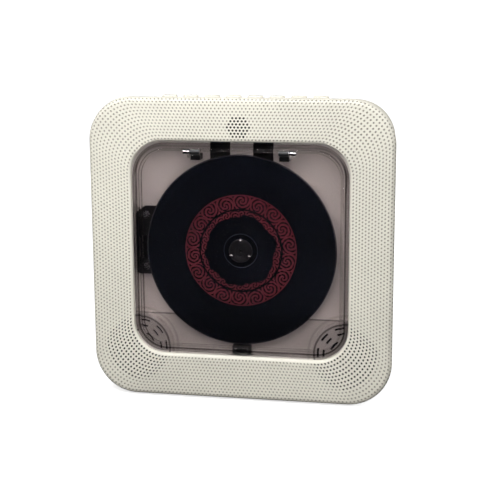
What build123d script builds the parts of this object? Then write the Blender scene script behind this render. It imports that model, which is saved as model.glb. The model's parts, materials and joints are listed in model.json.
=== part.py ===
"""A square desktop disc player with a perforated front frame, a clear hinged lid and an open disc drive.

Lengths are millimetres. X runs to the right, Y runs from the front to the back, Z runs up.
The origin is at the middle of the underside. Places on the front are given as X and height above
the middle of the body, and places behind it as a depth from the foremost point of the frame.
"""
import os
from math import acos, asin, atan2, cos, degrees, hypot, pi, radians, sin

from build123d import *

# Casing
body_depth = 45.0
corner_radius = 27.5
side_bar = 27.0
cross_bar = 27.5
wall = 2.5
foot_drop = 1.5
cut_overrun = 1.0
slide_gap = 0.2
turn_gap = 0.05
screw_gap = 0.05

# Front frame section
crest_inset = 20.0
crown_radius = 200.0
shoulder_radius = 3.5
tail_inset = 2.4
tail_depth = 15.1

# Window in the front frame
disc_side_room = 8.0
disc_end_room = 7.5
window_rise = 0.6
window_radius = 19.5
window_roll = 2.2
lip_width = 2.5
lip_depth = 3.2

# Hexagon of sound and signal holes
hexagon_x = 0.0
hexagon_above = 9.0
hexagon_rows = 7
hexagon_pitch = 2.3
hexagon_row_pitch = 1.87
hole_radius = 0.55
hole_sides = 6

# Rear shell
shell_inset = 3.0
shell_edge_radius = 6.0
seam_gap = 0.6
tongue_wall = 1.6
tongue_reach = 3.0
tongue_root = 2.0
keyhole_spacing = 80.0
keyhole_z = 48.0
keyhole_entry_radius = 4.2
keyhole_slot_radius = 2.1
keyhole_rise = 9.0

# Casing screws and their posts
post_radius = 4.0
post_top_drop = 7.5
post_cup_gap = 4.4
post_split_depth = 22.0
casing_screw_radius = 1.4
casing_screw_head_radius = 2.8
casing_screw_head_height = 2.0
casing_screw_length = 14.0
head_seat_depth = 30.0
counterbore_radius = 3.1

# Disc tray
tray_ease = 1.2
tray_wall = 2.0
tray_flange = 4.4
tray_fillet = 1.2
deck_depth = 11.8
well_radius = 61.5
well_drop = 0.5
ear_reach = 5.8
ear_top_drop = 32.1
ear_cup_gap = 24.4
ear_radius = 4.0
ear_depth = 9.0
tray_boss_radius = 3.0

# Small screws that hold the tray and the drive plate
small_screw_radius = 1.1
small_screw_head_radius = 2.4
small_screw_head_height = 1.0
small_screw_length = 3.6

# Speakers and their cups
speaker_inset = 1.6
speaker_rise = 2.6
cup_radius = 20.5
cup_wall = 1.4
cup_front_depth = 6.4
cup_back_depth = 12.4
grille_thickness = 1.6
grille_gap = 0.1
slot_width = 1.4
slot_ring_radii = (17.8, 14.2, 10.0)
slot_ring_counts = (10, 10, 5)
slot_fill_share = 0.56
slot_turn = 40.0
basket_wall = 1.0
basket_flange_height = 1.4
basket_flange_width = 1.8
basket_neck_radius = 13.0
basket_depth = 12.0
magnet_radius = 12.5
magnet_height = 5.0
back_plate_radius = 10.0
back_plate_height = 2.0
cone_thickness = 0.6
cone_roll = 1.8
cone_height = 6.6
cone_cap_radius = 5.0
cone_cap_height = 1.8

# Clear lid
lid_side_gap = 0.5
lid_top_gap = 1.0
lid_front_depth = 1.8
lid_thickness = 2.0
lid_crease_height = 25.9
lid_top_radius = 21.0
lid_slope_drop = 2.2
lid_step_inset = 3.6
lid_step_drop = 0.6
lid_skirt_wall = 1.6
lid_skirt_depth = 6.2
lid_tongue_width = 6.0
lid_tongue_thickness = 1.4
lid_tongue_height = 2.9
lid_tongue_depth = 9.0

# Lid hinges
hinge_drop = 6.6
hinge_depth = 3.0
hinge_pin_radius = 0.8
hinge_pin_length = 9.0
lug_radius = 1.8
lug_from_x = 30.9
lug_width = 4.0
lug_nose = 4.4
lug_nose_width = 1.6
lug_nose_back = 5.6
block_gap = 0.3
block_width = 6.0
eye_radius = 1.5
block_top_drop = 1.2
block_bottom_drop = 5.0
block_front_depth = 4.2
eye_notch_rise = 1.9
eye_notch_drop = 2.4

# Catch below the disc
catch_width = 11.5
catch_top_height = 5.7
catch_bottom_height = 0.2
catch_front_depth = 6.4
catch_slot_gap = 0.5

# Buffer pads above the disc
pad_from_x = 7.2
pad_width = 12.6
pad_length = 14.8
pad_thickness = 0.6
pad_sink = 0.8
pad_proud = 0.2
pad_front_depth = 4.2

# Compact disc and turntable
disc_radius = 60.0
disc_hole_radius = 7.5
disc_thickness = 1.2
disc_depth = 7.0
hub_fit = 0.1
hub_front_depth = 5.4
hub_edge = 0.8
hub_recess_radius = 3.4
hub_recess_depth = 0.8
table_radius = 12.0
table_thickness = 1.2
ring_width = 2.6
ring_thickness = 0.6
shaft_radius = 1.0
shaft_length = 12.0
ball_count = 3
ball_radius = 1.2
ball_reach = 6.5
ball_depth = 6.1

# Drive plate and what it carries
plate_side_gap = 0.4
plate_right_x = 23.5
plate_top_z = 26.3
plate_bottom_z = -17.3
plate_chamfer_x = 6.0
plate_chamfer_z = 4.5
plate_corner_radius = 2.0
plate_depth = 9.2
plate_thickness = 1.6
dish_radius = 13.2
dish_wall = 1.3
dish_drop = 1.2
bearing_hole_radius = 3.2
lens_slot_inset = 4.6
lens_slot_right_x = -17.5
lens_slot_height = 16.0
lens_slot_radius = 3.0
screw_inset = 6.6
screw_right_x = 19.0
screw_top_z = 20.8
screw_bottom_z = -12.4
screw_tab = 4.0
damper_radius = 3.6
aperture_inset = 0.6
aperture_right_x = 23.0
aperture_top_z = 24.8
aperture_bottom_z = -16.4
spindle_motor_radius = 10.5
spindle_motor_height = 8.0

# Sled, rods and feed train
rod_radius = 1.25
rod_offset = 12.2
rod_depth = 17.4
bracket_thickness = 3.0
bracket_inset = 1.6
bracket_right_x = 5.0
bracket_half_height = 14.2
bracket_neck_low_z = -6.5
bracket_neck_high_z = 9.0
bracket_head_depth = 15.0
bracket_back_depth = 19.6
bracket_foot_height = 3.2
sled_half_height = 14.6
sled_front_depth = 14.2
sled_back_depth = 19.8
lens_rest_x = -25.0
lens_end_margin = 2.5
sled_left_reach = 4.8
sled_right_reach = 11.0
sled_waist = 5.5
tower_radius = 4.2
tower_front_depth = 9.8
lens_radius = 2.6
lens_height = 0.7
gear_module = 0.5
rack_gear_teeth = 12
wheel_teeth = 36
pinion_teeth = 10
addendum_share = 0.9
dedendum_share = 1.25
tooth_root_share = 0.31
tooth_tip_share = 0.10
gear_x = -34.0
gear_z = 20.3
gear_post_radius = 1.0
rack_front_depth = 15.0
rack_height = 2.5
rack_teeth = 23
wheel_front_depth = 20.3
wheel_thickness = 1.5
gear_neck_radius = 2.0
pinion_angle = 25.0
feed_motor_radius = 6.0
feed_motor_front_depth = 14.0
feed_motor_height = 5.6
feed_shaft_radius = 0.6
feed_shaft_reach = 4.4
motor_leg_width = 7.0
motor_leg_low_z = 19.4

# Buttons on the top
button_count = 8
button_pitch = 13.6
button_length = 9.6
button_width = 5.0
button_corner = 2.4
button_rise = 2.9
button_edge = 0.6
button_depth = 21.5
button_flange = 1.0
button_flange_height = 1.0
button_flange_gap = 0.1
button_travel = 0.7
button_stem_radius = 1.2
button_stem_length = 1.2
switch_gap = 0.72
switch_side = 6.0
switch_height = 3.4
switch_cap_radius = 1.6
switch_cap_height = 0.8
button_board_overhang = 14.4
button_board_width = 12.0
board_thickness = 1.6
board_post_radius = 3.0
board_post_inset = 5.0

# Remote control receiver behind the hexagon
status_board_width = 26.0
status_board_height = 10.0
status_board_depth = 9.0
status_boss_x = 10.0
status_boss_radius = 2.0
receiver_width = 7.0
receiver_height = 6.0
receiver_reach = 3.0
receiver_dome_radius = 2.4

# Main board and the sockets on the right side
main_board_back_room = 11.0
main_board_left_x = -30.0
main_board_side_gap = 6.0
main_board_low_z = -27.0
main_board_high_z = 49.0
stand_radius = 3.0
stand_inset = 6.0
panel_low_z = -29.0
panel_high_z = 51.0
panel_front_reach = 9.0
panel_back_reach = 3.0
panel_recess = 0.8
socket_length = 14.0
socket_gap = 0.15
jack_radius = 1.8
jack_nose_radius = 3.0
jack_nose_length = 3.6
jack_block = 6.0
jack_bore_depth = 12.0
headphone_z = 9.0
aux_z = 19.0
usb_z = -6.0
usb_width = 13.2
usb_height = 5.9
usb_shell = 0.5
usb_bore_depth = 11.0
usb_tongue_width = 10.6
usb_tongue_height = 1.8
card_z = -20.0
card_width = 13.0
card_height = 2.2
card_slot_width = 11.2
card_slot_height = 1.0
power_socket_z = 30.0
power_socket_width = 9.4
power_socket_height = 3.4
power_socket_shell = 0.4
power_tongue_height = 0.7
power_switch_z = 42.0
power_switch_length = 12.0
power_switch_height = 6.0
knob_length = 5.0
knob_width = 2.8
knob_travel = 3.0
knob_proud = 0.7
knob_seat_length = 8.5
knob_seat_gap = 0.1

# Feet
foot_inset = 34.0
foot_seam_room = 1.3
foot_back_room = 6.0
foot_width = 14.0
foot_taper = 8.0

# Derived places
window_width = 2 * (disc_radius + disc_side_room)
window_height = 2 * (disc_radius + disc_end_room)
body_width = window_width + 2 * side_bar
body_height = window_height + 2 * cross_bar
centre_z = foot_drop + body_height / 2
front_y = -body_depth / 2
back_inner_depth = body_depth - wall
crown_angle = degrees(asin((crest_inset - shoulder_radius) / (crown_radius - shoulder_radius)))
shoulder_depth = crown_radius - (crown_radius - shoulder_radius) * cos(radians(crown_angle))
tail_reach = shoulder_radius - tail_inset
tail_run = tail_depth - shoulder_depth
tail_turn = degrees(atan2(tail_run, tail_reach) - acos(shoulder_radius / hypot(tail_run, tail_reach)))
shell_front_depth = tail_depth + seam_gap
shell_half_width = body_width / 2 - shell_inset
shell_half_height = body_height / 2 - shell_inset
window_top_z = window_rise + window_height / 2
window_bottom_z = window_rise - window_height / 2
hexagon_z = window_top_z + hexagon_above
speaker_x = window_width / 2 - speaker_inset
speaker_z = window_bottom_z + speaker_rise
tray_side_x = window_width / 2 + tray_ease + tray_wall
post_x = (tray_side_x + body_width / 2 - wall) / 2
post_top_z = body_height / 2 - corner_radius - post_top_drop
post_bottom_z = speaker_z + cup_radius + cup_wall + post_radius + post_cup_gap
ear_x = tray_side_x + ear_reach
ear_top_z = window_top_z - ear_top_drop
ear_bottom_z = speaker_z + cup_radius + cup_wall + ear_radius + ear_cup_gap
hinge_z = window_top_z - hinge_drop
catch_top_z = window_bottom_z + catch_top_height
catch_bottom_z = window_bottom_z + catch_bottom_height
lid_tongue_z = window_bottom_z + lid_tongue_height
lid_crease_z = window_bottom_z + lid_crease_height
plate_left_x = plate_side_gap - window_width / 2
lens_slot_left_x = plate_left_x + lens_slot_inset
screw_left_x = plate_left_x + screw_inset
aperture_left_x = plate_left_x + aperture_inset
bracket_left_x = plate_left_x + bracket_inset
lens_travel = disc_radius - lens_end_margin + lens_rest_x
main_board_right_x = shell_half_width - main_board_side_gap
main_board_depth = body_depth - main_board_back_room
panel_front_depth = main_board_depth - panel_front_reach
panel_back_depth = main_board_depth + panel_back_reach
foot_x = shell_half_width - foot_inset
foot_front_depth = shell_front_depth + foot_seam_room
foot_back_depth = body_depth - foot_back_room
button_board_length = (button_count - 1) * button_pitch + 2 * button_board_overhang
board_post_x = button_board_length / 2 - board_post_inset
tray_back_depth = deck_depth + tray_wall
lid_back_depth = lid_front_depth + lid_thickness
lid_width = window_width - 2 * lid_side_gap
lid_top_z = window_top_z - lid_top_gap
lid_bottom_z = window_bottom_z + lid_side_gap
lid_height = lid_top_z - lid_bottom_z
lid_middle_z = (lid_top_z + lid_bottom_z) / 2
lid_radius = window_radius - lid_side_gap
disc_back_depth = disc_depth + disc_thickness
table_depth = disc_back_depth + ring_thickness
plate_back_depth = plate_depth + plate_thickness
dish_back_depth = plate_back_depth + dish_drop
rack_pitch_z = gear_z - gear_module * rack_gear_teeth / 2
rack_root_z = rack_pitch_z - gear_module * dedendum_share
wheel_radius = gear_module * wheel_teeth / 2
pinion_distance = wheel_radius + gear_module * pinion_teeth / 2
pinion_x = gear_x + pinion_distance * cos(radians(pinion_angle))
pinion_z = gear_z + pinion_distance * sin(radians(pinion_angle))
button_face_z = shell_half_height + button_rise
button_flange_top_z = shell_half_height - wall - button_flange_gap
button_stem_end_z = button_flange_top_z - button_flange_height - button_stem_length
switch_top_z = button_stem_end_z - switch_gap
button_board_top_z = switch_top_z - switch_cap_height - switch_height
panel_x = shell_half_width - panel_recess
socket_front_x = panel_x - socket_gap
switch_front_x = shell_half_width + knob_proud - knob_seat_length


def face_plane(depth):
    """The plane of a front view, at a depth behind the foremost point."""
    return Plane(origin=(0, front_y + depth, centre_z), x_dir=(1, 0, 0), z_dir=(0, -1, 0))


def slab(outline, front, back):
    """An outline seen from the front, solid between two depths."""
    return extrude(face_plane(back) * outline, amount=back - front)


def bar(outline, left, right, z, depth):
    """An outline of depth and height, solid between two places along X."""
    plane = Plane(origin=(left, front_y + depth, centre_z + z), x_dir=(0, 1, 0), z_dir=(1, 0, 0))
    return extrude(plane * outline, amount=right - left)


def upright(outline, x, depth, low, high):
    """An outline seen from above, solid between two heights."""
    plane = Plane(origin=(x, front_y + depth, centre_z + low), x_dir=(1, 0, 0), z_dir=(0, 0, 1))
    return extrude(plane * outline, amount=high - low)


def box_between(left, right, low, high, front, back):
    """A block given by its limits in X, height and depth."""
    outline = Pos((left + right) / 2, (low + high) / 2) * Rectangle(right - left, high - low)
    return slab(outline, front, back)


def round_post(x, z, radius, front, back):
    """A round post that runs from front to back."""
    return slab(Pos(x, z) * Circle(radius), front, back)


def turned(section, x=0, z=0):
    """A section of (radius, depth) points turned about an axis that runs from front to back."""
    plane = Plane(origin=(x, front_y, centre_z + z), x_dir=(1, 0, 0), z_dir=(0, 0, -1))
    points = [(radius, -depth) for radius, depth in section]
    face = make_face(Polyline(*points, close=True))
    return revolve(plane * face, axis=Axis(plane.origin, (0, 1, 0)))


def carried_round(section, width, height, radius, rise=0):
    """A section carried round a rounded rectangle.

    The section's x is measured outwards from the corner's centre and its y towards the front.
    """
    corner = (width / 2 - radius, front_y, centre_z + rise + height / 2 - radius)
    side_plane = Plane(origin=corner, x_dir=(1, 0, 0), z_dir=(0, 0, -1))
    top_plane = Plane(origin=corner, x_dir=(0, 0, 1), z_dir=(1, 0, 0))
    quarter = extrude(side_plane * section, amount=height / 2 - radius)
    quarter += revolve(side_plane * section, axis=Axis(corner, (0, -1, 0)), revolution_arc=90)
    quarter += extrude(top_plane * section, amount=radius - width / 2)
    half = quarter + mirror(quarter, about=Plane.YZ)
    middle = Plane(origin=(0, 0, centre_z + rise), x_dir=(1, 0, 0), z_dir=(0, 0, 1))
    return half + mirror(half, about=middle)


def both_sides(piece):
    """A piece and its mirror image on the other side of the body."""
    return [piece, mirror(piece, about=Plane.YZ)]


def casing_post_places():
    """The four casing screws, as X and height."""
    return [(x, z) for x in (-post_x, post_x) for z in (post_bottom_z, post_top_z)]


def tray_ear_places():
    """The four tray screws, as X and height."""
    return [(x, z) for x in (-ear_x, ear_x) for z in (ear_bottom_z, ear_top_z)]


def plate_screw_places():
    """The four drive plate screws, as X and height."""
    return [(x, z) for x in (screw_left_x, screw_right_x) for z in (screw_bottom_z, screw_top_z)]


def frame_section():
    """The section of the front frame from its crest out to its back edge."""
    crown = (corner_radius - crest_inset, -crown_radius)
    shoulder = (corner_radius - shoulder_radius, -shoulder_depth)
    rise = 90 - crown_angle
    inner_tail = (corner_radius - tail_inset - wall, -tail_depth)
    inner_side = (corner_radius - wall, -shoulder_depth)
    crown_line = CenterArc(crown, crown_radius, 90, -crown_angle)
    shoulder_line = CenterArc(shoulder, shoulder_radius, rise, -rise - tail_turn)
    outer_tail = (corner_radius - tail_inset, -tail_depth)
    inner_shoulder = CenterArc(shoulder, shoulder_radius - wall, 0, rise)
    inner_crown = CenterArc(crown, crown_radius - wall, rise, crown_angle)
    edges = [crown_line, shoulder_line, Line(shoulder_line @ 1, outer_tail), Line(outer_tail, inner_tail)]
    edges.append(Line(inner_tail, inner_side))
    edges += [inner_shoulder, inner_crown, Line(inner_crown @ 1, crown_line @ 0)]
    return make_face(edges)


def lip_section():
    """The rolled window edge and the short wall behind it."""
    inner = window_radius
    outer = window_radius + lip_width
    roll = CenterArc((inner + window_roll, -window_roll), window_roll, 180, -90)
    path = Polyline(roll @ 1, (outer, 0), (outer, -lip_depth), (inner, -lip_depth), roll @ 0)
    return make_face([roll, path])


def hexagon_holes():
    """The rows of small holes that fill a hexagon in the top bar."""
    holes = Sketch()
    middle = hexagon_rows // 2
    for row in range(-middle, middle + 1):
        count = hexagon_rows - abs(row)
        for column in range(count):
            x = hexagon_x + (column - (count - 1) / 2) * hexagon_pitch
            holes += Pos(x, hexagon_z + row * hexagon_row_pitch) * RegularPolygon(hole_radius, hole_sides)
    return holes


def make_front_bezel():
    """The pillow-shaped frame with its window lip, tray bosses and casing posts."""
    frame = carried_round(frame_section(), body_width, body_height, corner_radius)
    face_outline = RectangleRounded(
        body_width - 2 * crest_inset, body_height - 2 * crest_inset, corner_radius - crest_inset)
    opening = Pos(0, window_rise) * RectangleRounded(
        window_width + 2 * window_roll, window_height + 2 * window_roll, window_radius + window_roll)
    frame += slab(face_outline - opening, 0, wall)
    frame += carried_round(lip_section(), window_width, window_height, window_radius, window_rise)
    for x, z in casing_post_places():
        frame += round_post(x, z, post_radius, wall, post_split_depth)
    for x, z in tray_ear_places():
        frame += round_post(x, z, tray_boss_radius, wall, ear_depth)
    for side in (-1, 1):
        boss_x = hexagon_x + side * status_boss_x
        frame += round_post(boss_x, hexagon_z, status_boss_radius, wall / 2, status_board_depth)
    for x, z in casing_post_places():
        tip = head_seat_depth - casing_screw_length
        frame -= round_post(x, z, casing_screw_radius + screw_gap, tip, post_split_depth)
    for x, z in tray_ear_places():
        tip = ear_depth + tray_wall - small_screw_length
        frame -= round_post(x, z, small_screw_radius + screw_gap, tip, ear_depth)
    frame -= slab(hexagon_holes(), -cut_overrun, wall + cut_overrun)
    return frame


def make_rear_shell():
    """The back of the casing with its tongue, posts, openings and keyholes."""
    outer_radius = corner_radius - shell_inset
    outline = RectangleRounded(2 * shell_half_width, 2 * shell_half_height, outer_radius)
    inner = RectangleRounded(
        2 * (shell_half_width - wall), 2 * (shell_half_height - wall), outer_radius - wall)
    shell = slab(outline, shell_front_depth, body_depth)
    back_edges = shell.edges().filter_by_position(Axis.Y, front_y + body_depth, front_y + body_depth)
    shell = fillet(back_edges, shell_edge_radius)
    shell -= slab(inner, shell_front_depth - cut_overrun, back_inner_depth)
    tongue_inset = tail_inset + wall + slide_gap
    tongue_outer = RectangleRounded(
        body_width - 2 * tongue_inset, body_height - 2 * tongue_inset, corner_radius - tongue_inset)
    tongue_depth = tongue_inset + tongue_wall
    tongue_inner = RectangleRounded(
        body_width - 2 * tongue_depth, body_height - 2 * tongue_depth, corner_radius - tongue_depth)
    shell += slab(inner - tongue_inner, shell_front_depth, shell_front_depth + tongue_root)
    shell += slab(tongue_outer - tongue_inner, shell_front_depth - tongue_reach, shell_front_depth + tongue_root)
    for x, z in casing_post_places():
        shell += round_post(x, z, post_radius, post_split_depth, back_inner_depth)
    for x, z in casing_post_places():
        shell -= round_post(x, z, casing_screw_radius + screw_gap, post_split_depth, head_seat_depth)
        shell -= round_post(x, z, counterbore_radius, head_seat_depth, body_depth + cut_overrun)
    for x, z in main_board_stand_places():
        shell += round_post(x, z, stand_radius, main_board_depth + board_thickness, back_inner_depth)
    for piece in both_sides(button_board_post()):
        shell += piece
    shell -= keyhole_cuts()
    shell -= button_holes()
    shell -= socket_holes()
    return shell


def main_board_stand_places():
    """The stands under the corners of the main board."""
    columns = (main_board_left_x + stand_inset, main_board_right_x - stand_inset - socket_length)
    rows = (main_board_low_z + stand_inset, main_board_high_z - stand_inset)
    return [(x, z) for x in columns for z in rows]


def button_board_post():
    """A post from the top wall down to the button board."""
    wall_inner = shell_half_height - wall
    return upright(Circle(board_post_radius), board_post_x, button_depth, button_board_top_z, wall_inner)


def keyhole_cuts():
    """Two keyholes in the back wall, each a round entry with a slot above it."""
    cuts = Sketch()
    for side in (-1, 1):
        x = side * keyhole_spacing / 2
        cuts += Pos(x, keyhole_z - keyhole_rise) * Circle(keyhole_entry_radius)
        cuts += Pos(x, keyhole_z - keyhole_rise / 2) * Rectangle(2 * keyhole_slot_radius, keyhole_rise)
        cuts += Pos(x, keyhole_z) * Circle(keyhole_slot_radius)
    return slab(cuts, back_inner_depth - cut_overrun, body_depth + cut_overrun)


def button_places():
    """The X of each button, from left to right."""
    return [(index - (button_count - 1) / 2) * button_pitch for index in range(button_count)]


def button_holes():
    """The holes in the top wall that guide the buttons."""
    outline = Sketch()
    for x in button_places():
        outline += Pos(x, 0) * RectangleRounded(
            button_length + 2 * slide_gap, button_width + 2 * slide_gap, button_corner + slide_gap)
    low = shell_half_height - wall - cut_overrun
    return upright(outline, 0, button_depth, low, shell_half_height + cut_overrun)


def side_hole(outline, z, depth):
    """A hole through the right side wall, its outline given as depth and height."""
    left = shell_half_width - wall - cut_overrun
    return bar(outline, left, shell_half_width + cut_overrun, z, depth)


def socket_holes():
    """The recessed panel in the right side and the hole of each socket in it."""
    cuts = box_between(
        panel_x, shell_half_width + cut_overrun, panel_low_z, panel_high_z, panel_front_depth, panel_back_depth)
    for z in (headphone_z, aux_z):
        cuts += side_hole(Circle(jack_nose_radius + socket_gap), z, main_board_depth - jack_block / 2)
    usb_outline = Rectangle(usb_height + 2 * socket_gap, usb_width + 2 * socket_gap)
    cuts += side_hole(usb_outline, usb_z, main_board_depth - usb_height / 2)
    card_outline = Rectangle(card_height + 2 * socket_gap, card_width + 2 * socket_gap)
    cuts += side_hole(card_outline, card_z, main_board_depth - card_height / 2)
    power_outline = RectangleRounded(
        power_socket_height + 2 * socket_gap, power_socket_width + 2 * socket_gap, power_socket_height / 2)
    cuts += side_hole(power_outline, power_socket_z, main_board_depth - power_socket_height / 2)
    knob_outline = Rectangle(knob_width + 2 * slide_gap, knob_length + knob_travel + 2 * slide_gap)
    knob_middle_z = power_switch_z + knob_travel / 2
    cuts += side_hole(knob_outline, knob_middle_z, main_board_depth - power_switch_height / 2)
    return cuts


def tray_section():
    """The tray's flange, its wall and the small fillet where the wall meets the deck."""
    face = window_radius + tray_ease
    back = -(deck_depth + tray_wall)
    corner = (face - tray_fillet, tray_fillet - deck_depth)
    bend = CenterArc(corner, tray_fillet, 0, -90)
    path = Polyline(
        bend @ 1, (face - tray_fillet, back), (face + tray_wall, back),
        (face + tray_wall, -lip_depth - tray_wall), (face + tray_flange, -lip_depth - tray_wall),
        (face + tray_flange, -lip_depth), (face, -lip_depth), bend @ 0)
    return make_face([bend, path])


def plate_outline(grow=0):
    """The drive plate seen from the front, with its cut corner."""
    left = plate_left_x - grow
    top = plate_top_z + grow
    right = plate_right_x + grow
    bottom = plate_bottom_z - grow
    points = [(left, bottom), (right, bottom), (right, top), (left + plate_chamfer_x, top)]
    points.append((left, top - plate_chamfer_z))
    outline = make_face(Polyline(*points, close=True))
    return fillet(outline.vertices(), plate_corner_radius)


def aperture_outline():
    """The opening in the deck behind the drive plate, less the four screw tabs."""
    width = aperture_right_x - aperture_left_x
    height = aperture_top_z - aperture_bottom_z
    middle = Pos((aperture_left_x + aperture_right_x) / 2, (aperture_top_z + aperture_bottom_z) / 2)
    outline = middle * Rectangle(width, height)
    for x, z in plate_screw_places():
        edge_z = aperture_top_z if z > 0 else aperture_bottom_z
        far_z = z - screw_tab if z > 0 else z + screw_tab
        outline -= Pos(x, (edge_z + far_z) / 2) * Rectangle(2 * screw_tab, abs(edge_z - far_z))
    return outline


def make_disc_tray():
    """The deck behind the lid, with the disc well, the speaker cups and the screw ears."""
    width = window_width + 2 * tray_ease
    height = window_height + 2 * tray_ease
    radius = window_radius + tray_ease
    tray = carried_round(tray_section(), width, height, radius, window_rise)
    floor_outline = Pos(0, window_rise) * RectangleRounded(
        width - 2 * tray_fillet, height - 2 * tray_fillet, radius - tray_fillet)
    tray += slab(floor_outline, deck_depth, tray_back_depth)
    tray -= slab(Circle(well_radius) - plate_outline(plate_corner_radius), 0, deck_depth + well_drop)
    for side in (-1, 1):
        tray += round_post(side * speaker_x, speaker_z, cup_radius + cup_wall, cup_front_depth, cup_back_depth)
    for side in (-1, 1):
        tray -= round_post(side * speaker_x, speaker_z, cup_radius, cup_front_depth, tray_back_depth + cut_overrun)
    for x, z in tray_ear_places():
        middle_x = (tray_side_x - tray_wall / 2 + ear_x) / 2
        arm = Pos(middle_x if x > 0 else -middle_x, z) * Rectangle(ear_reach + tray_wall, 2 * ear_radius)
        tray += slab(arm + Pos(x, z) * Circle(ear_radius), ear_depth, ear_depth + tray_wall)
    for x, z in tray_ear_places():
        clear = small_screw_radius + 2 * screw_gap
        tray -= round_post(x, z, clear, ear_depth - cut_overrun, ear_depth + tray_wall + cut_overrun)
    tray -= slab(aperture_outline(), deck_depth - cut_overrun, tray_back_depth + cut_overrun)
    for x, z in plate_screw_places():
        tray -= round_post(x, z, small_screw_radius + screw_gap, deck_depth, tray_back_depth + cut_overrun)
    for pocket in both_sides(pad_pocket()):
        tray -= pocket
    return tray


def pad_limits():
    """The left, right, top and back limits of a buffer pad."""
    top_z = window_top_z + tray_ease
    return pad_from_x, pad_from_x + pad_width, top_z, deck_depth + pad_sink


def pad_pocket():
    """The pocket that a buffer pad lies in."""
    left, right, top_z, back = pad_limits()
    pocket = box_between(left, right, top_z - pad_length, top_z, deck_depth - tray_fillet, back)
    return pocket + box_between(left, right, top_z - tray_fillet, top_z, lip_depth, back)


def make_disc_pad():
    """An angled pad on the deck and up the top wall."""
    left, right, top_z, back = pad_limits()
    pad = box_between(left, right, top_z - pad_length, top_z, deck_depth - pad_proud, back)
    return pad + box_between(left, right, top_z - pad_thickness, top_z, pad_front_depth, back)


def make_speaker_grille():
    """A round grille with rings of arc slots."""
    outline = Pos(speaker_x, speaker_z) * Circle(cup_radius - grille_gap)
    for radius, count in zip(slot_ring_radii, slot_ring_counts):
        sweep_angle = 360 / count * slot_fill_share
        for index in range(count):
            start = 180 - slot_turn + index * 360 / count - sweep_angle / 2
            outline -= Pos(speaker_x, speaker_z) * arc_slot(radius, start, sweep_angle)
    return slab(outline, cup_front_depth, cup_front_depth + grille_thickness)


def arc_slot(radius, start, angle):
    """A curved slot with square ends, about the middle of a ring."""
    outer = CenterArc((0, 0), radius + slot_width / 2, start, angle)
    inner = CenterArc((0, 0), radius - slot_width / 2, start, angle)
    return make_face([outer, inner, Line(outer @ 0, inner @ 0), Line(outer @ 1, inner @ 1)])


def make_speaker_frame():
    """The pressed basket of a speaker, with its front flange."""
    front = cup_front_depth + grille_thickness
    rim = cup_radius - slide_gap
    shelf = front + basket_flange_height
    back = front + basket_depth
    mouth = rim - basket_flange_width
    section = [
        (rim, front), (rim, shelf), (mouth + basket_wall, shelf), (basket_neck_radius, back - basket_wall),
        (basket_neck_radius, back), (basket_neck_radius / 2, back), (basket_neck_radius / 2, back - basket_wall),
        (basket_neck_radius - basket_wall, back - basket_wall), (mouth, shelf), (mouth, front)]
    return turned(section, speaker_x, speaker_z)


def make_speaker_cone():
    """The paper cone with its rolled edge and dust cap."""
    front = cup_front_depth + grille_thickness + cone_thickness
    rim = cup_radius - slide_gap - basket_flange_width - slide_gap
    low = front + cone_height
    tip = low - cone_cap_height
    section = [
        (rim, front), (rim - cone_roll, front + cone_thickness / 2), (cone_cap_radius, low), (0, tip),
        (0, tip + cone_thickness), (cone_cap_radius, low + cone_thickness),
        (rim - cone_roll, front + 3 * cone_thickness / 2), (rim, front + cone_thickness)]
    return turned(section, speaker_x, speaker_z)


def make_speaker_magnet():
    """The ring magnet with its back plate."""
    front = cup_front_depth + grille_thickness + basket_depth
    step = front + magnet_height
    back = step + back_plate_height
    section = [(0, front), (magnet_radius, front), (magnet_radius, step)]
    section += [(back_plate_radius, step), (back_plate_radius, back), (0, back)]
    return turned(section, speaker_x, speaker_z)


def lid_outline(inset=0):
    """The lid seen from the front, less a margin all round, with its upper corners a little rounder."""
    width = lid_width - 2 * inset
    shape = Pos(0, lid_middle_z) * RectangleRounded(width, lid_height - 2 * inset, lid_radius - inset)
    upper = RectangleRounded(width, 2 * lid_height, lid_top_radius - inset)
    return shape & (Pos(0, lid_top_z - inset - lid_height) * upper)


def lid_layer(front, thickness):
    """A layer as wide as the lid that follows its face, with the lower part sloping inwards."""
    low_front = front + lid_slope_drop
    upper = [(front, lid_top_z), (front, lid_crease_z), (low_front, lid_bottom_z)]
    lower = [(low_front + thickness, lid_bottom_z), (front + thickness, lid_crease_z)]
    section = make_face(Polyline(*upper, *lower, (front + thickness, lid_top_z), close=True))
    return bar(section, -lid_width / 2, lid_width / 2, 0, 0)


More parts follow.
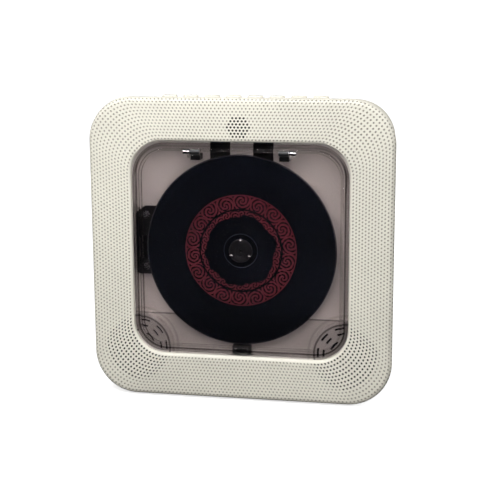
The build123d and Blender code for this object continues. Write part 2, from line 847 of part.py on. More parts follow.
def make_dust_lid():
    """The clear lid with its stepped edge, back skirt, hinge lugs and closing tongue."""
    lid = lid_layer(lid_front_depth, lid_thickness) & slab(lid_outline(), 0, deck_depth)
    step_front = lid_front_depth - cut_overrun
    step = lid_layer(step_front, cut_overrun + lid_step_drop)
    lid -= step & slab(lid_outline() - lid_outline(lid_step_inset), 0, deck_depth)
    skirt_front = lid_back_depth - lid_step_drop
    skirt_ring = lid_outline(lid_step_inset) - lid_outline(lid_step_inset + lid_skirt_wall)
    skirt = slab(skirt_ring, skirt_front, lid_skirt_depth)
    skirt = skirt & lid_layer(lid_front_depth + lid_step_drop, deck_depth)
    hinge_left = lug_from_x - block_gap - block_width - block_gap
    hinge_right = lug_from_x + lug_width + block_gap
    notch = box_between(hinge_left, hinge_right, lid_middle_z, lid_top_z, skirt_front, deck_depth)
    for piece in both_sides(notch):
        skirt -= piece
    lid += skirt
    tongue_low = lid_tongue_z - lid_tongue_thickness / 2
    half = lid_tongue_width / 2
    tongue_front = lid_back_depth + lid_slope_drop / 2
    lid += box_between(-half, half, tongue_low, tongue_low + lid_tongue_thickness, tongue_front, lid_tongue_depth)
    eye_notch = box_between(
        hinge_left, lug_from_x, hinge_z - eye_notch_drop, hinge_z + eye_notch_rise, 0, lid_back_depth)
    for piece in both_sides(eye_notch):
        lid -= piece
    for piece in both_sides(hinge_lug()):
        lid += piece
    pin_left = lug_from_x + lug_width - hinge_pin_length - block_gap
    bore = bar(Circle(hinge_pin_radius + turn_gap), pin_left, lug_from_x + lug_width + block_gap, hinge_z, hinge_depth)
    for piece in both_sides(bore):
        lid -= piece
    return lid


def hinge_lug():
    """A barrel in the pane's thickness, with the small nose that points down behind it."""
    left = lug_from_x
    lug = bar(Circle(lug_radius), left, left + lug_width, hinge_z, hinge_depth)
    nose_back = lug_nose_back - hinge_depth
    nose = make_face(Polyline((0, 0), (nose_back, 0), (nose_back, -lug_radius), (0, -lug_nose), close=True))
    return lug + bar(nose, left, left + lug_nose_width, hinge_z, hinge_depth)


def make_hinge_block():
    """A block on the deck with an eye that reaches through the lid's notch and holds the pin."""
    right = lug_from_x - block_gap
    left = right - block_width
    back = deck_depth - hinge_depth
    front = block_front_depth - hinge_depth
    outline = Circle(eye_radius)
    points = [(0, -eye_radius), (front, -eye_notch_drop + block_gap), (front, -block_bottom_drop)]
    points += [(back, -block_bottom_drop), (back, -block_top_drop), (0, -block_top_drop)]
    outline += make_face(Polyline(*points, close=True))
    block = bar(outline, left, right, hinge_z, hinge_depth)
    pin_left = lug_from_x + lug_width - hinge_pin_length
    return block - bar(Circle(hinge_pin_radius), pin_left, right + cut_overrun, hinge_z, hinge_depth)


def make_hinge_pin():
    """A steel pin, tight in the block and free in the lid's lug."""
    right = lug_from_x + lug_width
    return bar(Circle(hinge_pin_radius), right - hinge_pin_length, right, hinge_z, hinge_depth)


def make_lid_catch():
    """A block with the slot that takes the lid's tongue."""
    half = catch_width / 2
    catch = box_between(-half, half, catch_bottom_z, catch_top_z, catch_front_depth, deck_depth)
    front_edges = catch.faces().sort_by(Axis.Y)[0].edges()
    catch = chamfer(front_edges, catch_slot_gap)
    slot_half = lid_tongue_width / 2 + catch_slot_gap
    low = lid_tongue_z - lid_tongue_thickness / 2 - catch_slot_gap
    high = lid_tongue_z + lid_tongue_thickness / 2 + catch_slot_gap
    slot_back = lid_tongue_depth + catch_slot_gap
    return catch - box_between(-slot_half, slot_half, low, high, catch_front_depth - cut_overrun, slot_back)


def make_compact_disc():
    """A 120 mm disc with its centre hole."""
    return slab(Circle(disc_radius) - Circle(disc_hole_radius), disc_depth, disc_back_depth)


def make_turntable_hub():
    """The turntable with its boss, three ball pockets and a dished top."""
    boss = disc_hole_radius - hub_fit
    floor_depth = hub_front_depth + hub_recess_depth
    table_back = table_depth + table_thickness
    section = [
        (shaft_radius, floor_depth), (hub_recess_radius, floor_depth), (hub_recess_radius, hub_front_depth),
        (boss - hub_edge, hub_front_depth), (boss, hub_front_depth + hub_edge), (boss, table_depth),
        (table_radius, table_depth), (table_radius, table_back), (shaft_radius, table_back)]
    hub = turned(section)
    for index in range(ball_count):
        hub -= ball_pocket(index)
    return hub


def ball_place(index):
    """The direction of a clamping ball, as X and height."""
    angle = radians(90 + index * 360 / ball_count)
    return cos(angle), sin(angle)


def ball_pocket(index):
    """A round pocket that opens at the side of the boss."""
    x, z = ball_place(index)
    start = ball_reach - ball_radius - turn_gap
    origin = (start * x, front_y + ball_depth, centre_z + start * z)
    plane = Plane(origin=origin, z_dir=(x, 0, z))
    return extrude(plane * Circle(ball_radius + turn_gap), amount=disc_hole_radius)


def make_clamp_balls():
    """The three balls that hold the disc on the boss."""
    balls = []
    for index in range(ball_count):
        x, z = ball_place(index)
        balls.append(Pos(ball_reach * x, front_y + ball_depth, centre_z + ball_reach * z) * Sphere(ball_radius))
    return Compound(children=balls)


def make_turntable_ring():
    """The rubber ring that the disc lies on."""
    outer = table_radius - slide_gap
    return slab(Circle(outer) - Circle(outer - ring_width), disc_back_depth, table_depth)


def make_motor_shaft():
    """The spindle, pressed into the turntable and free in the motor."""
    front = hub_front_depth + hub_recess_depth
    return round_post(0, 0, shaft_radius, front, front + shaft_length)


def make_spindle_motor():
    """The motor can on the back of the drive plate."""
    back = dish_back_depth + spindle_motor_height
    can = round_post(0, 0, spindle_motor_radius, dish_back_depth, back)
    can = chamfer(can.faces().sort_by(Axis.Y)[-1].edges(), dish_wall)
    shaft_end = hub_front_depth + hub_recess_depth + shaft_length + cut_overrun
    return can - round_post(0, 0, shaft_radius + turn_gap, dish_back_depth - cut_overrun, shaft_end)


def make_mechanism_plate():
    """The drive plate with its dish, lens slot, rod brackets, gear post and motor leg."""
    plate = slab(plate_outline(), plate_depth, plate_back_depth)
    plate += round_post(0, 0, dish_radius + dish_wall, plate_back_depth, dish_back_depth)
    plate -= round_post(0, 0, dish_radius, 0, dish_back_depth - plate_thickness + dish_drop / 2)
    plate -= round_post(0, 0, bearing_hole_radius, plate_depth, dish_back_depth + cut_overrun)
    slot_width_x = lens_slot_right_x - lens_slot_left_x
    slot_middle_x = (lens_slot_right_x + lens_slot_left_x) / 2
    slot = Pos(slot_middle_x, 0) * RectangleRounded(slot_width_x, lens_slot_height, lens_slot_radius)
    plate -= slab(slot, plate_depth - cut_overrun, plate_back_depth + cut_overrun)
    for x, z in plate_screw_places():
        pocket = small_screw_head_radius + slide_gap
        plate -= round_post(x, z, pocket, 0, plate_depth + small_screw_head_height)
        plate -= round_post(x, z, small_screw_radius + slide_gap, 0, plate_back_depth + cut_overrun)
    left = bracket_left_x
    right = bracket_left_x + bracket_thickness
    plate += box_between(
        left, right, bracket_neck_low_z, bracket_neck_high_z, plate_back_depth, bracket_head_depth)
    plate += box_between(
        left, right, -bracket_half_height, bracket_half_height, bracket_head_depth, bracket_back_depth)
    for side in (-1, 1):
        near = side * (bracket_half_height - bracket_foot_height)
        far = side * bracket_half_height
        inner_right = bracket_right_x + bracket_thickness
        plate += box_between(
            bracket_right_x, inner_right, min(near, far), max(near, far), plate_back_depth, bracket_back_depth)
        hole = bar(Circle(rod_radius), left - cut_overrun, inner_right, side * rod_offset, rod_depth)
        plate -= hole
    plate += round_post(gear_x, gear_z, gear_post_radius, plate_back_depth, wheel_front_depth + wheel_thickness)
    leg_left = pinion_x - motor_leg_width / 2
    plate += box_between(
        leg_left, leg_left + motor_leg_width, motor_leg_low_z, aperture_top_z - slide_gap,
        plate_back_depth, feed_motor_front_depth)
    return plate


def make_mechanism_dampers():
    """Four rubber washers between the drive plate and the deck."""
    washers = []
    for x, z in plate_screw_places():
        ring = Circle(damper_radius) - Circle(small_screw_radius + slide_gap)
        washers.append(slab(Pos(x, z) * ring, plate_back_depth, deck_depth))
    return Compound(children=washers)


def make_guide_rod(side):
    """A steel rod between the two brackets."""
    right = bracket_right_x + bracket_thickness
    return bar(Circle(rod_radius), bracket_left_x, right, side * rod_offset, rod_depth)


def make_laser_sled():
    """The sled with its rod bearings, waist and lens tower."""
    left = lens_rest_x - sled_left_reach
    right = lens_rest_x + sled_right_reach
    half = sled_half_height
    sled = box_between(left, right, -half, half, sled_front_depth, sled_back_depth)
    waist_half = rod_offset - 2 * rod_radius
    sled -= box_between(
        right - sled_waist, right + cut_overrun, -waist_half, waist_half,
        sled_front_depth - cut_overrun, sled_back_depth + cut_overrun)
    sled += round_post(lens_rest_x, 0, tower_radius, tower_front_depth, sled_front_depth)
    sled -= round_post(lens_rest_x, 0, lens_radius, tower_front_depth, tower_front_depth + lens_height)
    for side in (-1, 1):
        sled -= bar(
            Circle(rod_radius + turn_gap), left - cut_overrun, right + cut_overrun, side * rod_offset, rod_depth)
    return sled


def make_objective_lens():
    """The lens in its tower."""
    front = tower_front_depth
    section = [
        (0, front - lens_height / 2), (lens_radius / 2, front - lens_height / 4), (lens_radius - turn_gap, front),
        (lens_radius - turn_gap, front + lens_height), (0, front + lens_height)]
    return turned(section, lens_rest_x, 0)


def make_sled_rack():
    """The toothed rack on the sled's upper side."""
    pitch = pi * gear_module
    tip_z = rack_pitch_z + gear_module * addendum_share
    start_x = gear_x - (rack_teeth // 2 - lens_half_teeth()) * pitch
    left = start_x - pitch / 2
    right = start_x + (rack_teeth - 1 / 2) * pitch
    middle = Pos((left + right) / 2, (sled_half_height + rack_root_z) / 2)
    outline = middle * Rectangle(right - left, rack_root_z - sled_half_height)
    root_half = pitch * tooth_root_share
    tip_half = pitch * tooth_tip_share
    for index in range(rack_teeth):
        x = start_x + index * pitch
        points = [(x - root_half, rack_root_z), (x + root_half, rack_root_z)]
        points += [(x + tip_half, tip_z), (x - tip_half, tip_z)]
        outline += make_face(Polyline(*points, close=True))
    return slab(outline, rack_front_depth, rack_front_depth + rack_height)


def lens_half_teeth():
    """How many teeth the rack is moved towards the spindle, so that it meets the gear all the way."""
    return round(lens_travel / 2 / (pi * gear_module))


def gear_outline(teeth, tooth_angle):
    """A gear seen from the front, with one tooth centred at an angle."""
    pitch_radius = gear_module * teeth / 2
    root = pitch_radius - gear_module * dedendum_share
    tip = pitch_radius + gear_module * addendum_share
    step = 2 * pi / teeth
    points = []
    for index in range(teeth):
        middle = radians(tooth_angle) + index * step
        for radius, share in (
                (root, -tooth_root_share), (tip, -tooth_tip_share), (tip, tooth_tip_share), (root, tooth_root_share)):
            angle = middle + share * step
            points.append((radius * cos(angle), radius * sin(angle)))
    return make_face(Polyline(*points, close=True))


def make_feed_gear():
    """The double gear: a small one on the rack and a wide one that the pinion drives."""
    place = Pos(gear_x, gear_z)
    small = gear_outline(rack_gear_teeth, -90 + 180 / rack_gear_teeth)
    wide = gear_outline(wheel_teeth, pinion_angle)
    gear = slab(place * small, rack_front_depth, rack_front_depth + rack_height)
    gear += round_post(gear_x, gear_z, gear_neck_radius, rack_front_depth + rack_height, wheel_front_depth)
    gear += slab(place * wide, wheel_front_depth, wheel_front_depth + wheel_thickness)
    bore_back = wheel_front_depth + wheel_thickness + cut_overrun
    return gear - round_post(gear_x, gear_z, gear_post_radius + turn_gap, 0, bore_back)


def make_feed_pinion():
    """The pinion and its shaft."""
    outline = gear_outline(pinion_teeth, pinion_angle + 180 + 180 / pinion_teeth)
    pinion = slab(Pos(pinion_x, pinion_z) * outline, wheel_front_depth, wheel_front_depth + wheel_thickness)
    motor_back = feed_motor_front_depth + feed_motor_height
    return pinion + round_post(
        pinion_x, pinion_z, feed_shaft_radius, motor_back - feed_shaft_reach, wheel_front_depth)


def make_feed_motor():
    """The small motor that drives the sled."""
    back = feed_motor_front_depth + feed_motor_height
    can = round_post(pinion_x, pinion_z, feed_motor_radius, feed_motor_front_depth, back)
    bore_front = back - feed_shaft_reach - slide_gap
    return can - round_post(pinion_x, pinion_z, feed_shaft_radius + turn_gap, bore_front, back + cut_overrun)


def make_button(x):
    """A push button with its rounded cap, flange and stem."""
    low = button_flange_top_z
    cap = upright(RectangleRounded(button_length, button_width, button_corner), x, button_depth, low, button_face_z)
    cap = fillet(cap.faces().sort_by(Axis.Z)[-1].edges(), button_edge)
    flange = RectangleRounded(button_length + 2 * button_flange, button_width + 2 * button_flange, button_corner)
    button = cap + upright(flange, x, button_depth, low - button_flange_height, low)
    return button + upright(
        Circle(button_stem_radius), x, button_depth, button_stem_end_z, low - button_flange_height)


def make_button_switches():
    """The small press switches under the buttons."""
    switches = []
    body_top = button_board_top_z + switch_height
    for x in button_places():
        body = upright(Rectangle(switch_side, switch_side), x, button_depth, button_board_top_z, body_top)
        switches.append(body + upright(Circle(switch_cap_radius), x, button_depth, body_top, switch_top_z))
    return Compound(children=switches)


def make_button_board():
    """The narrow board that carries the switches."""
    outline = Rectangle(button_board_length, button_board_width)
    return upright(outline, 0, button_depth, button_board_top_z - board_thickness, button_board_top_z)


def make_status_board():
    """The small board behind the hexagon of holes."""
    outline = Pos(hexagon_x, hexagon_z) * Rectangle(status_board_width, status_board_height)
    return slab(outline, status_board_depth, status_board_depth + board_thickness)


def make_remote_receiver():
    """The receiver with its domed window."""
    half = receiver_width / 2
    low = hexagon_z - receiver_height / 2
    front = status_board_depth - receiver_reach
    body = box_between(
        hexagon_x - half, hexagon_x + half, low, low + receiver_height, front, status_board_depth)
    dome = Pos(hexagon_x, front_y + front, centre_z + hexagon_z) * Sphere(receiver_dome_radius)
    return body + dome


def make_main_board():
    """The main circuit board."""
    return box_between(
        main_board_left_x, main_board_right_x, main_board_low_z, main_board_high_z,
        main_board_depth, main_board_depth + board_thickness)


def make_jack(z):
    """A round audio socket with its bore."""
    depth = main_board_depth - jack_block / 2
    back_x = socket_front_x - socket_length
    nose_x = socket_front_x - jack_nose_length
    jack = bar(Rectangle(jack_block, jack_block + turn_gap), back_x, nose_x, z, depth)
    jack += bar(Circle(jack_nose_radius), nose_x, socket_front_x, z, depth)
    return jack - bar(
        Circle(jack_radius), socket_front_x - jack_bore_depth, socket_front_x + cut_overrun, z, depth)


def make_usb_socket():
    """A flat metal socket with its tongue."""
    depth = main_board_depth - usb_height / 2
    back_x = socket_front_x - socket_length
    bore_x = socket_front_x - usb_bore_depth
    inner_height = usb_height - 2 * usb_shell
    socket = bar(Rectangle(usb_height, usb_width), back_x, socket_front_x, usb_z, depth)
    socket -= bar(
        Rectangle(inner_height, usb_width - 2 * usb_shell), bore_x, socket_front_x + cut_overrun, usb_z, depth)
    tongue = Pos((inner_height - usb_tongue_height) / 2 - usb_shell, 0)
    tongue = tongue * Rectangle(usb_tongue_height, usb_tongue_width)
    return socket + bar(tongue, bore_x, socket_front_x - cut_overrun, usb_z, depth)


def make_card_socket():
    """A thin socket for memory cards."""
    depth = main_board_depth - card_height / 2
    back_x = socket_front_x - socket_length
    socket = bar(Rectangle(card_height, card_width), back_x, socket_front_x, card_z, depth)
    return socket - bar(
        Rectangle(card_slot_height, card_slot_width), back_x + usb_shell, socket_front_x + cut_overrun,
        card_z, depth)


def make_power_socket():
    """The flat oval power socket."""
    depth = main_board_depth - power_socket_height / 2
    back_x = socket_front_x - socket_length / 2
    shell_radius = power_socket_height / 2 - turn_gap
    socket = bar(
        RectangleRounded(power_socket_height, power_socket_width, shell_radius), back_x, socket_front_x,
        power_socket_z, depth)
    inner_height = power_socket_height - 2 * power_socket_shell
    inner = RectangleRounded(
        inner_height, power_socket_width - 2 * power_socket_shell, inner_height / 2 - turn_gap)
    socket -= bar(inner, back_x + power_socket_shell, socket_front_x + cut_overrun, power_socket_z, depth)
    tongue = Rectangle(power_tongue_height, power_socket_width - power_socket_height)
    return socket + bar(tongue, back_x, socket_front_x - cut_overrun, power_socket_z, depth)


def make_power_switch():
    """The body of the slide switch."""
    front = main_board_depth - power_switch_height
    low = power_switch_z + knob_travel / 2 - power_switch_length / 2
    return box_between(
        switch_front_x - power_switch_height, switch_front_x - knob_seat_gap, low, low + power_switch_length,
        front, main_board_depth)


def make_power_knob():
    """The ribbed knob of the slide switch."""
    depth = main_board_depth - power_switch_height / 2
    knob = bar(
        Rectangle(knob_width, knob_length), switch_front_x, switch_front_x + knob_seat_length,
        power_switch_z, depth)
    return chamfer(knob.faces().sort_by(Axis.X)[-1].edges(), slide_gap)


def make_foot():
    """A tapered rubber foot under the rear shell."""
    length = foot_back_depth - foot_front_depth
    outline = RectangleRounded(foot_width, length, foot_width / 3)
    middle_depth = (foot_front_depth + foot_back_depth) / 2
    plane = Plane(origin=(foot_x, front_y + middle_depth, centre_z - shell_half_height), z_dir=(0, 0, -1))
    return extrude(plane * outline, amount=shell_inset + foot_drop, taper=foot_taper)


def make_screw(x, z, front, back, radius, head_radius, head_height, head_at_front):
    """A pan-head screw that runs from front to back."""
    if head_at_front:
        head = round_post(x, z, head_radius, front, front + head_height)
    else:
        head = round_post(x, z, head_radius, back - head_height, back)
    return head + round_post(x, z, radius, front, back)


def make_housing_screws():
    """The four long casing screws."""
    screws = []
    back = head_seat_depth + casing_screw_head_height
    front = head_seat_depth - casing_screw_length + screw_gap
    for x, z in casing_post_places():
        screws.append(make_screw(
            x, z, front, back, casing_screw_radius, casing_screw_head_radius, casing_screw_head_height, False))
    return Compound(children=screws)


def make_small_screws():
    """The screws of the tray and the drive plate."""
    screws = []
    seat = ear_depth + tray_wall
    tip = seat - small_screw_length + screw_gap
    for x, z in tray_ear_places():
        screws.append(make_screw(
            x, z, tip, seat + small_screw_head_height, small_screw_radius, small_screw_head_radius,
            small_screw_head_height, False))
    for x, z in plate_screw_places():
        screws.append(make_screw(
            x, z, plate_depth, plate_depth + small_screw_head_height + small_screw_length, small_screw_radius,
            small_screw_head_radius, small_screw_head_height, True))
    return Compound(children=screws)


def paired(name, piece):
    """The right-hand piece and its left-hand mirror image, by name."""
    right, left = both_sides(piece)
    return {f"{name}_right": right, f"{name}_left": left}


def all_nodes():
    """Every piece by its node's name."""
    nodes = {
        "front_bezel": make_front_bezel(),
        "rear_shell": make_rear_shell(),
        "disc_tray": make_disc_tray(),
        "mechanism_plate": make_mechanism_plate(),
        "mechanism_dampers": make_mechanism_dampers(),
        "spindle_motor": make_spindle_motor(),
        "feed_motor": make_feed_motor(),
        "guide_rod_upper": make_guide_rod(1),
        "guide_rod_lower": make_guide_rod(-1),
        "lid_catch": make_lid_catch(),
        "main_board": make_main_board(),
        "button_board": make_button_board(),
        "button_switches": make_button_switches(),
        "status_board": make_status_board(),
        "remote_receiver": make_remote_receiver(),
        "headphone_jack": make_jack(headphone_z),
        "aux_jack": make_jack(aux_z),
        "usb_socket": make_usb_socket(),
        "card_socket": make_card_socket(),
        "power_socket": make_power_socket(),
        "power_switch": make_power_switch(),
        "housing_screws": make_housing_screws(),
        "small_screws": make_small_screws(),
        "dust_lid": make_dust_lid(),
        "motor_shaft": make_motor_shaft(),
        "turntable_hub": make_turntable_hub(),
        "turntable_ring": make_turntable_ring(),
        "clamp_balls": make_clamp_balls(),
        "compact_disc": make_compact_disc(),
        "laser_sled": make_laser_sled(),
        "objective_lens": make_objective_lens(),
        "sled_rack": make_sled_rack(),
        "feed_gear": make_feed_gear(),
        "feed_pinion": make_feed_pinion(),
        "power_knob": make_power_knob(),
    }
    nodes.update(paired("speaker_grille", make_speaker_grille()))
    nodes.update(paired("speaker_frame", make_speaker_frame()))
    nodes.update(paired("speaker_cone", make_speaker_cone()))
    nodes.update(paired("speaker_magnet", make_speaker_magnet()))
    nodes.update(paired("hinge_block", make_hinge_block()))
    nodes.update(paired("hinge_pin", make_hinge_pin()))
    nodes.update(paired("disc_pad", make_disc_pad()))
    nodes.update(paired("foot", make_foot()))
    for index, x in enumerate(button_places(), start=1):
        nodes[f"button_{index}"] = make_button(x)
    return nodes


def main():
    """Write one STEP file for each node."""
    os.makedirs("parts", exist_ok=True)
    for name, shape in all_nodes().items():
        export_step(shape, f"parts/{name}.step")


main()
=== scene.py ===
"""Looks for the desktop disc player: a dimpled cream front, a smoky lid, a printed disc and its drive.

Every length in the property groups is in millimetres as the maker would state it; meshes are in metres.
X runs to the right, Y from front to back and Z up, with the origin at the middle of the underside.
"""
import json
from math import asin, cos, pi, radians, sin

import bmesh
import bpy
import numpy as np
from mathutils import Matrix, Vector


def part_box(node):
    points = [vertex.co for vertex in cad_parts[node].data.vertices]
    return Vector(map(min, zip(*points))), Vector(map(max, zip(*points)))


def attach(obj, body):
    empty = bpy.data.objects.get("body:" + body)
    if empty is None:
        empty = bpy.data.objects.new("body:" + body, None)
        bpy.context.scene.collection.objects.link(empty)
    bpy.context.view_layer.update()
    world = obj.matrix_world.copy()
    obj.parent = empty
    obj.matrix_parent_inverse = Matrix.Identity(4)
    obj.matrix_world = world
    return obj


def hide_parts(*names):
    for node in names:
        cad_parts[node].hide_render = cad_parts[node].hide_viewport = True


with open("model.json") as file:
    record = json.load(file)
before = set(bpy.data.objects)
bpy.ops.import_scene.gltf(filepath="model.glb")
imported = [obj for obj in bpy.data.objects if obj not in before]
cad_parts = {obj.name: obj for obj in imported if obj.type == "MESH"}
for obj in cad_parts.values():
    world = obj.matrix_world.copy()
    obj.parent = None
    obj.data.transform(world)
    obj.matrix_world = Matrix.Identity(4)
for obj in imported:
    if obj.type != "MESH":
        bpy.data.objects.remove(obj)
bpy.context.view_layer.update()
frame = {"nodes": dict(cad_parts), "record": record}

bl_info = {
    "name": "Desktop disc player",
    "version": (1, 0, 0),
    "blender": (4, 5, 0),
    "location": "View3D > Sidebar > Disc player",
    "description": "Makes the visible pieces of a square desktop disc player around its solids",
    "category": "Object",
}

MM = 0.001
MERGE_DISTANCE = 2e-6
NODES = frame["nodes"]
FRONT_Y = min(corner[1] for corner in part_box("front_bezel")) / MM
CENTRE_Z = sum(corner[2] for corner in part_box("compact_disc")) / 2 / MM
MATERIALS = {}


# Properties

def length_property(name, description, default, low=0.0):
    """A length in millimetres."""
    return bpy.props.FloatProperty(name=name, description=description, default=default, min=low, precision=3)


def count_property(name, description, default):
    """A whole number."""
    return bpy.props.IntProperty(name=name, description=description, default=default, min=1)


def angle_property(name, description, degrees):
    """An angle, its default given in degrees."""
    return bpy.props.FloatProperty(
        name=name, description=description, default=radians(degrees), subtype="ANGLE")


def light_property(name, description, default, subtype="NONE"):
    """The power or strength of a light."""
    return bpy.props.FloatProperty(
        name=name, description=description, default=default, min=0.0, subtype=subtype)


def colour_property(name, description, default):
    """A linear colour."""
    return bpy.props.FloatVectorProperty(
        name=name, description=description, default=default, size=3, min=0, max=1, subtype="COLOR")


class DISCPLAYER_PG_front(bpy.types.PropertyGroup):
    half_width: length_property("Half width", "From the middle of the front to its side", 95.0)
    corner: length_property("Corner radius", "Radius of the outline's corners", 27.5)
    crest_inset: length_property("Crest inset", "From the side in to where the face is flat", 20.0)
    crown: length_property("Crown radius", "Radius of the gently domed face", 200.0)
    shoulder: length_property("Shoulder radius", "Radius of the rounded edge", 3.5)
    tail_inset: length_property("Tail inset", "How far the side leans in at the back", 2.4)
    tail_depth: length_property("Tail depth", "Depth of the side's back edge", 15.1)
    window_half_width: length_property("Window half width", "Half of the window's width", 68.0)
    window_half_height: length_property("Window half height", "Half of the window's height", 67.5)
    window_corner: length_property("Window corner", "Radius of the window's corners", 19.5)
    window_rise: length_property("Window rise", "How far the window sits above the middle", 0.6)
    window_roll: length_property("Window roll", "Radius of the rolled window edge", 2.2)
    lip_depth: length_property("Lip depth", "Depth of the window's edge", 3.2)
    rings: count_property("Rings", "Rings of dimples round the window", 14)
    first_count: count_property("Dimples a side", "Dimples along one side of the first ring", 60)
    first_side: length_property("First ring at the sides", "From the first ring to the crest, sideways", 4.85)
    first_top: length_property("First ring at the top", "From the first ring to the crest, upwards", 5.64)
    ring_pitch: length_property("Ring pitch", "From one ring of dimples to the next", 1.93)
    ring_pitch_up: length_property("Ring pitch upwards", "From one ring to the next above the window", 1.92)
    first_radius: length_property("First ring's corner", "Corner radius of the first ring", 21.9)
    radius_step: length_property("Corner step", "Growth of the corner radius from ring to ring", 0.4)
    ring_rise: length_property("Ring rise", "How far the first ring sits above the middle", 0.3)
    ring_fall: length_property("Ring fall", "How much lower each further ring sits", 0.045)
    dimple_radius: length_property("Dimple radius", "Radius of a dimple's mouth", 0.56)
    dimple_depth: length_property("Dimple depth", "Depth of a dimple", 0.42)
    bore_radius: length_property("Sound hole radius", "Radius of a hole over a speaker", 0.58)
    bore_depth: length_property("Sound hole depth", "Visible depth of a sound or signal hole", 2.0)
    signal_radius: length_property("Signal hole radius", "Radius of a hole in the hexagon", 0.70)
    signal_row: count_property("Signal row", "Middle ring of the hexagon", 4)
    signal_reach: count_property("Signal reach", "Rows above and below it", 3)
    cup_sink: length_property("Cup sink", "How far a hole's cup sits below the face", 0.1)
    speaker_x: length_property("Speaker side", "From the middle to a speaker", 66.4)
    speaker_z: length_property("Speaker drop", "Height of a speaker from the middle", -64.3, low=-200.0)
    speaker_reach: length_property("Speaker reach", "Radius of the field of sound holes", 20.0)
    crease_height: length_property("Crease height", "Height of the lid's crease", -41.0, low=-200.0)


class DISCPLAYER_PG_finish(bpy.types.PropertyGroup):
    cream: colour_property("Cream", "Moulded case", (0.83, 0.80, 0.70))
    # Dimple is painted shade: the cream darkened for the shade inside each dimple.
    dimple: colour_property("Dimple", "Inside of a dimple", (0.35, 0.325, 0.27))
    tray: colour_property("Tray", "Deck behind the lid", (0.74, 0.70, 0.66))
    smoke: colour_property("Smoke", "Tint of the clear lid", (0.60, 0.563, 0.568))
    black: colour_property("Black", "Black mouldings", (0.012, 0.012, 0.014))
    disc: colour_property("Disc", "Printed ground of the disc", (0.006, 0.009, 0.016))
    crimson: colour_property("Crimson", "Printed ring of the disc", (0.175, 0.032, 0.045))
    case_edge: length_property("Case edge", "Rounding of the case's and the lid's edges", 0.35)
    block_edge: length_property("Block edge", "Rounding of the hinge blocks, catch and motor", 0.3)
    deck_edge: length_property("Deck edge", "Rounding of the deck, the sled and the feed motor", 0.25)
    key_edge: length_property("Key edge", "Rounding of the keys, the grilles and the plate", 0.2)
    hub_edge: length_property("Hub edge", "Rounding of the hub", 0.15)
    fine_edge: length_property("Fine edge", "Rounding of the sockets, the feet and the pads", 0.12)


class DISCPLAYER_PG_stage(bpy.types.PropertyGroup):
    azimuth: angle_property("Azimuth", "Camera's turn to the right", 10.935)
    elevation: angle_property("Elevation", "Camera's height as an angle", 11.773)
    roll: angle_property("Roll", "Camera's turn about its line of sight", -0.24)
    distance: length_property("Distance", "From the camera to the target", 725.8)
    target_x: length_property("Target side", "Where the camera looks, to the right", 7.1, low=-500.0)
    target_z: length_property("Target height", "Where it looks, above the middle", 2.09, low=-500.0)
    focal: length_property("Focal length", "Of the camera's lens", 85.1)
    key: light_property("Key light", "Power of the main light", 4.05, "POWER")
    fill: light_property("Fill light", "Power of the soft light", 1.4, "POWER")
    back: light_property("Back light", "Power behind the object", 2.6, "POWER")
    sky: light_property("Sky", "Strength of the light all round", 0.2)
    room: light_property("Room", "Strength of what the clear lid mirrors from in front", 0.03)
    tent: light_property("Tent", "Strength of what edges mirror from elsewhere", 0.5)
    gleam: light_property("Gleam", "Strength of the strips that edges mirror", 10.0)
    through: light_property("Through", "Light that comes in through the lid", 1.4)


def settings():
    """The property groups of this scene."""
    scene = bpy.context.scene
    return scene.disc_player_front, scene.disc_player_finish, scene.disc_player_stage


# Numbers and colours in node trees

def put(value, socket):
    """Set a plain value in a socket, or link another socket or a reading to it."""
    if isinstance(value, Reading):
        value = value.socket
    if isinstance(value, bpy.types.NodeSocket):
        socket.id_data.links.new(value, socket)
    else:
        socket.default_value = value


def add_node(tree, kind, inputs=None, **values):
    """A node with its plain settings, its inputs set or linked."""
    node = tree.nodes.new(kind)
    for name, value in values.items():
        setattr(node, name, value)
    for name, value in (inputs or {}).items():
        put(value, node.inputs[name])
    return node


def fill(node, **values):
    """Set or link a node's inputs, with underscores for the blanks in their names."""
    for name, value in values.items():
        put(value, node.inputs[name.replace("_", " ")])


def reckon(tree, operation, *values):
    """A Math node on numbers and readings."""
    node = add_node(tree, "ShaderNodeMath", dict(enumerate(values)), operation=operation)
    return Reading(node.outputs[0])


class Reading:
    """A number in a node tree; what is reckoned from it becomes Math nodes."""

    def __init__(self, socket):
        self.socket = socket
        self.tree = socket.id_data

    def math(self, operation, *others):
        """A Math node with this number first."""
        return reckon(self.tree, operation, self, *others)

    def __add__(self, other):
        return self.math("ADD", other)

    def __radd__(self, other):
        return reckon(self.tree, "ADD", other, self)

    def __sub__(self, other):
        return self.math("SUBTRACT", other)

    def __rsub__(self, other):
        return reckon(self.tree, "SUBTRACT", other, self)

    def __mul__(self, other):
        return self.math("MULTIPLY", other)

    def __truediv__(self, other):
        return self.math("DIVIDE", other)

    def __abs__(self):
        return self.math("ABSOLUTE")

    def spread(self, low, high, to_low=0.0, to_high=1.0):
        """This number carried from one range to another and kept inside it."""
        return read(add_node(self.tree, "ShaderNodeMapRange", {
            "Value": self, "From Min": low, "From Max": high, "To Min": to_low, "To Max": to_high}), "Result")

    def line(self, middle, half, fade):
        """A soft line where this number is near one value."""
        return abs(self - middle).spread(half, fade, 1.0, 0.0)


def read(node, output):
    """A node's output as a reading."""
    return Reading(node.outputs[output])


def split(tree, vector):
    """The three parts of a vector."""
    node = add_node(tree, "ShaderNodeSeparateXYZ", {"Vector": vector})
    return [read(node, axis) for axis in "XYZ"]


def join(tree, *parts):
    """Three numbers as a vector."""
    return add_node(tree, "ShaderNodeCombineXYZ", dict(zip("XYZ", parts))).outputs["Vector"]


def diagonal(first, second):
    """The long side over two sides at a right angle."""
    return (first * first + second * second).math("SQRT")


def object_place(tree):
    """The place on a piece, in metres."""
    return add_node(tree, "ShaderNodeTexCoord").outputs["Object"]


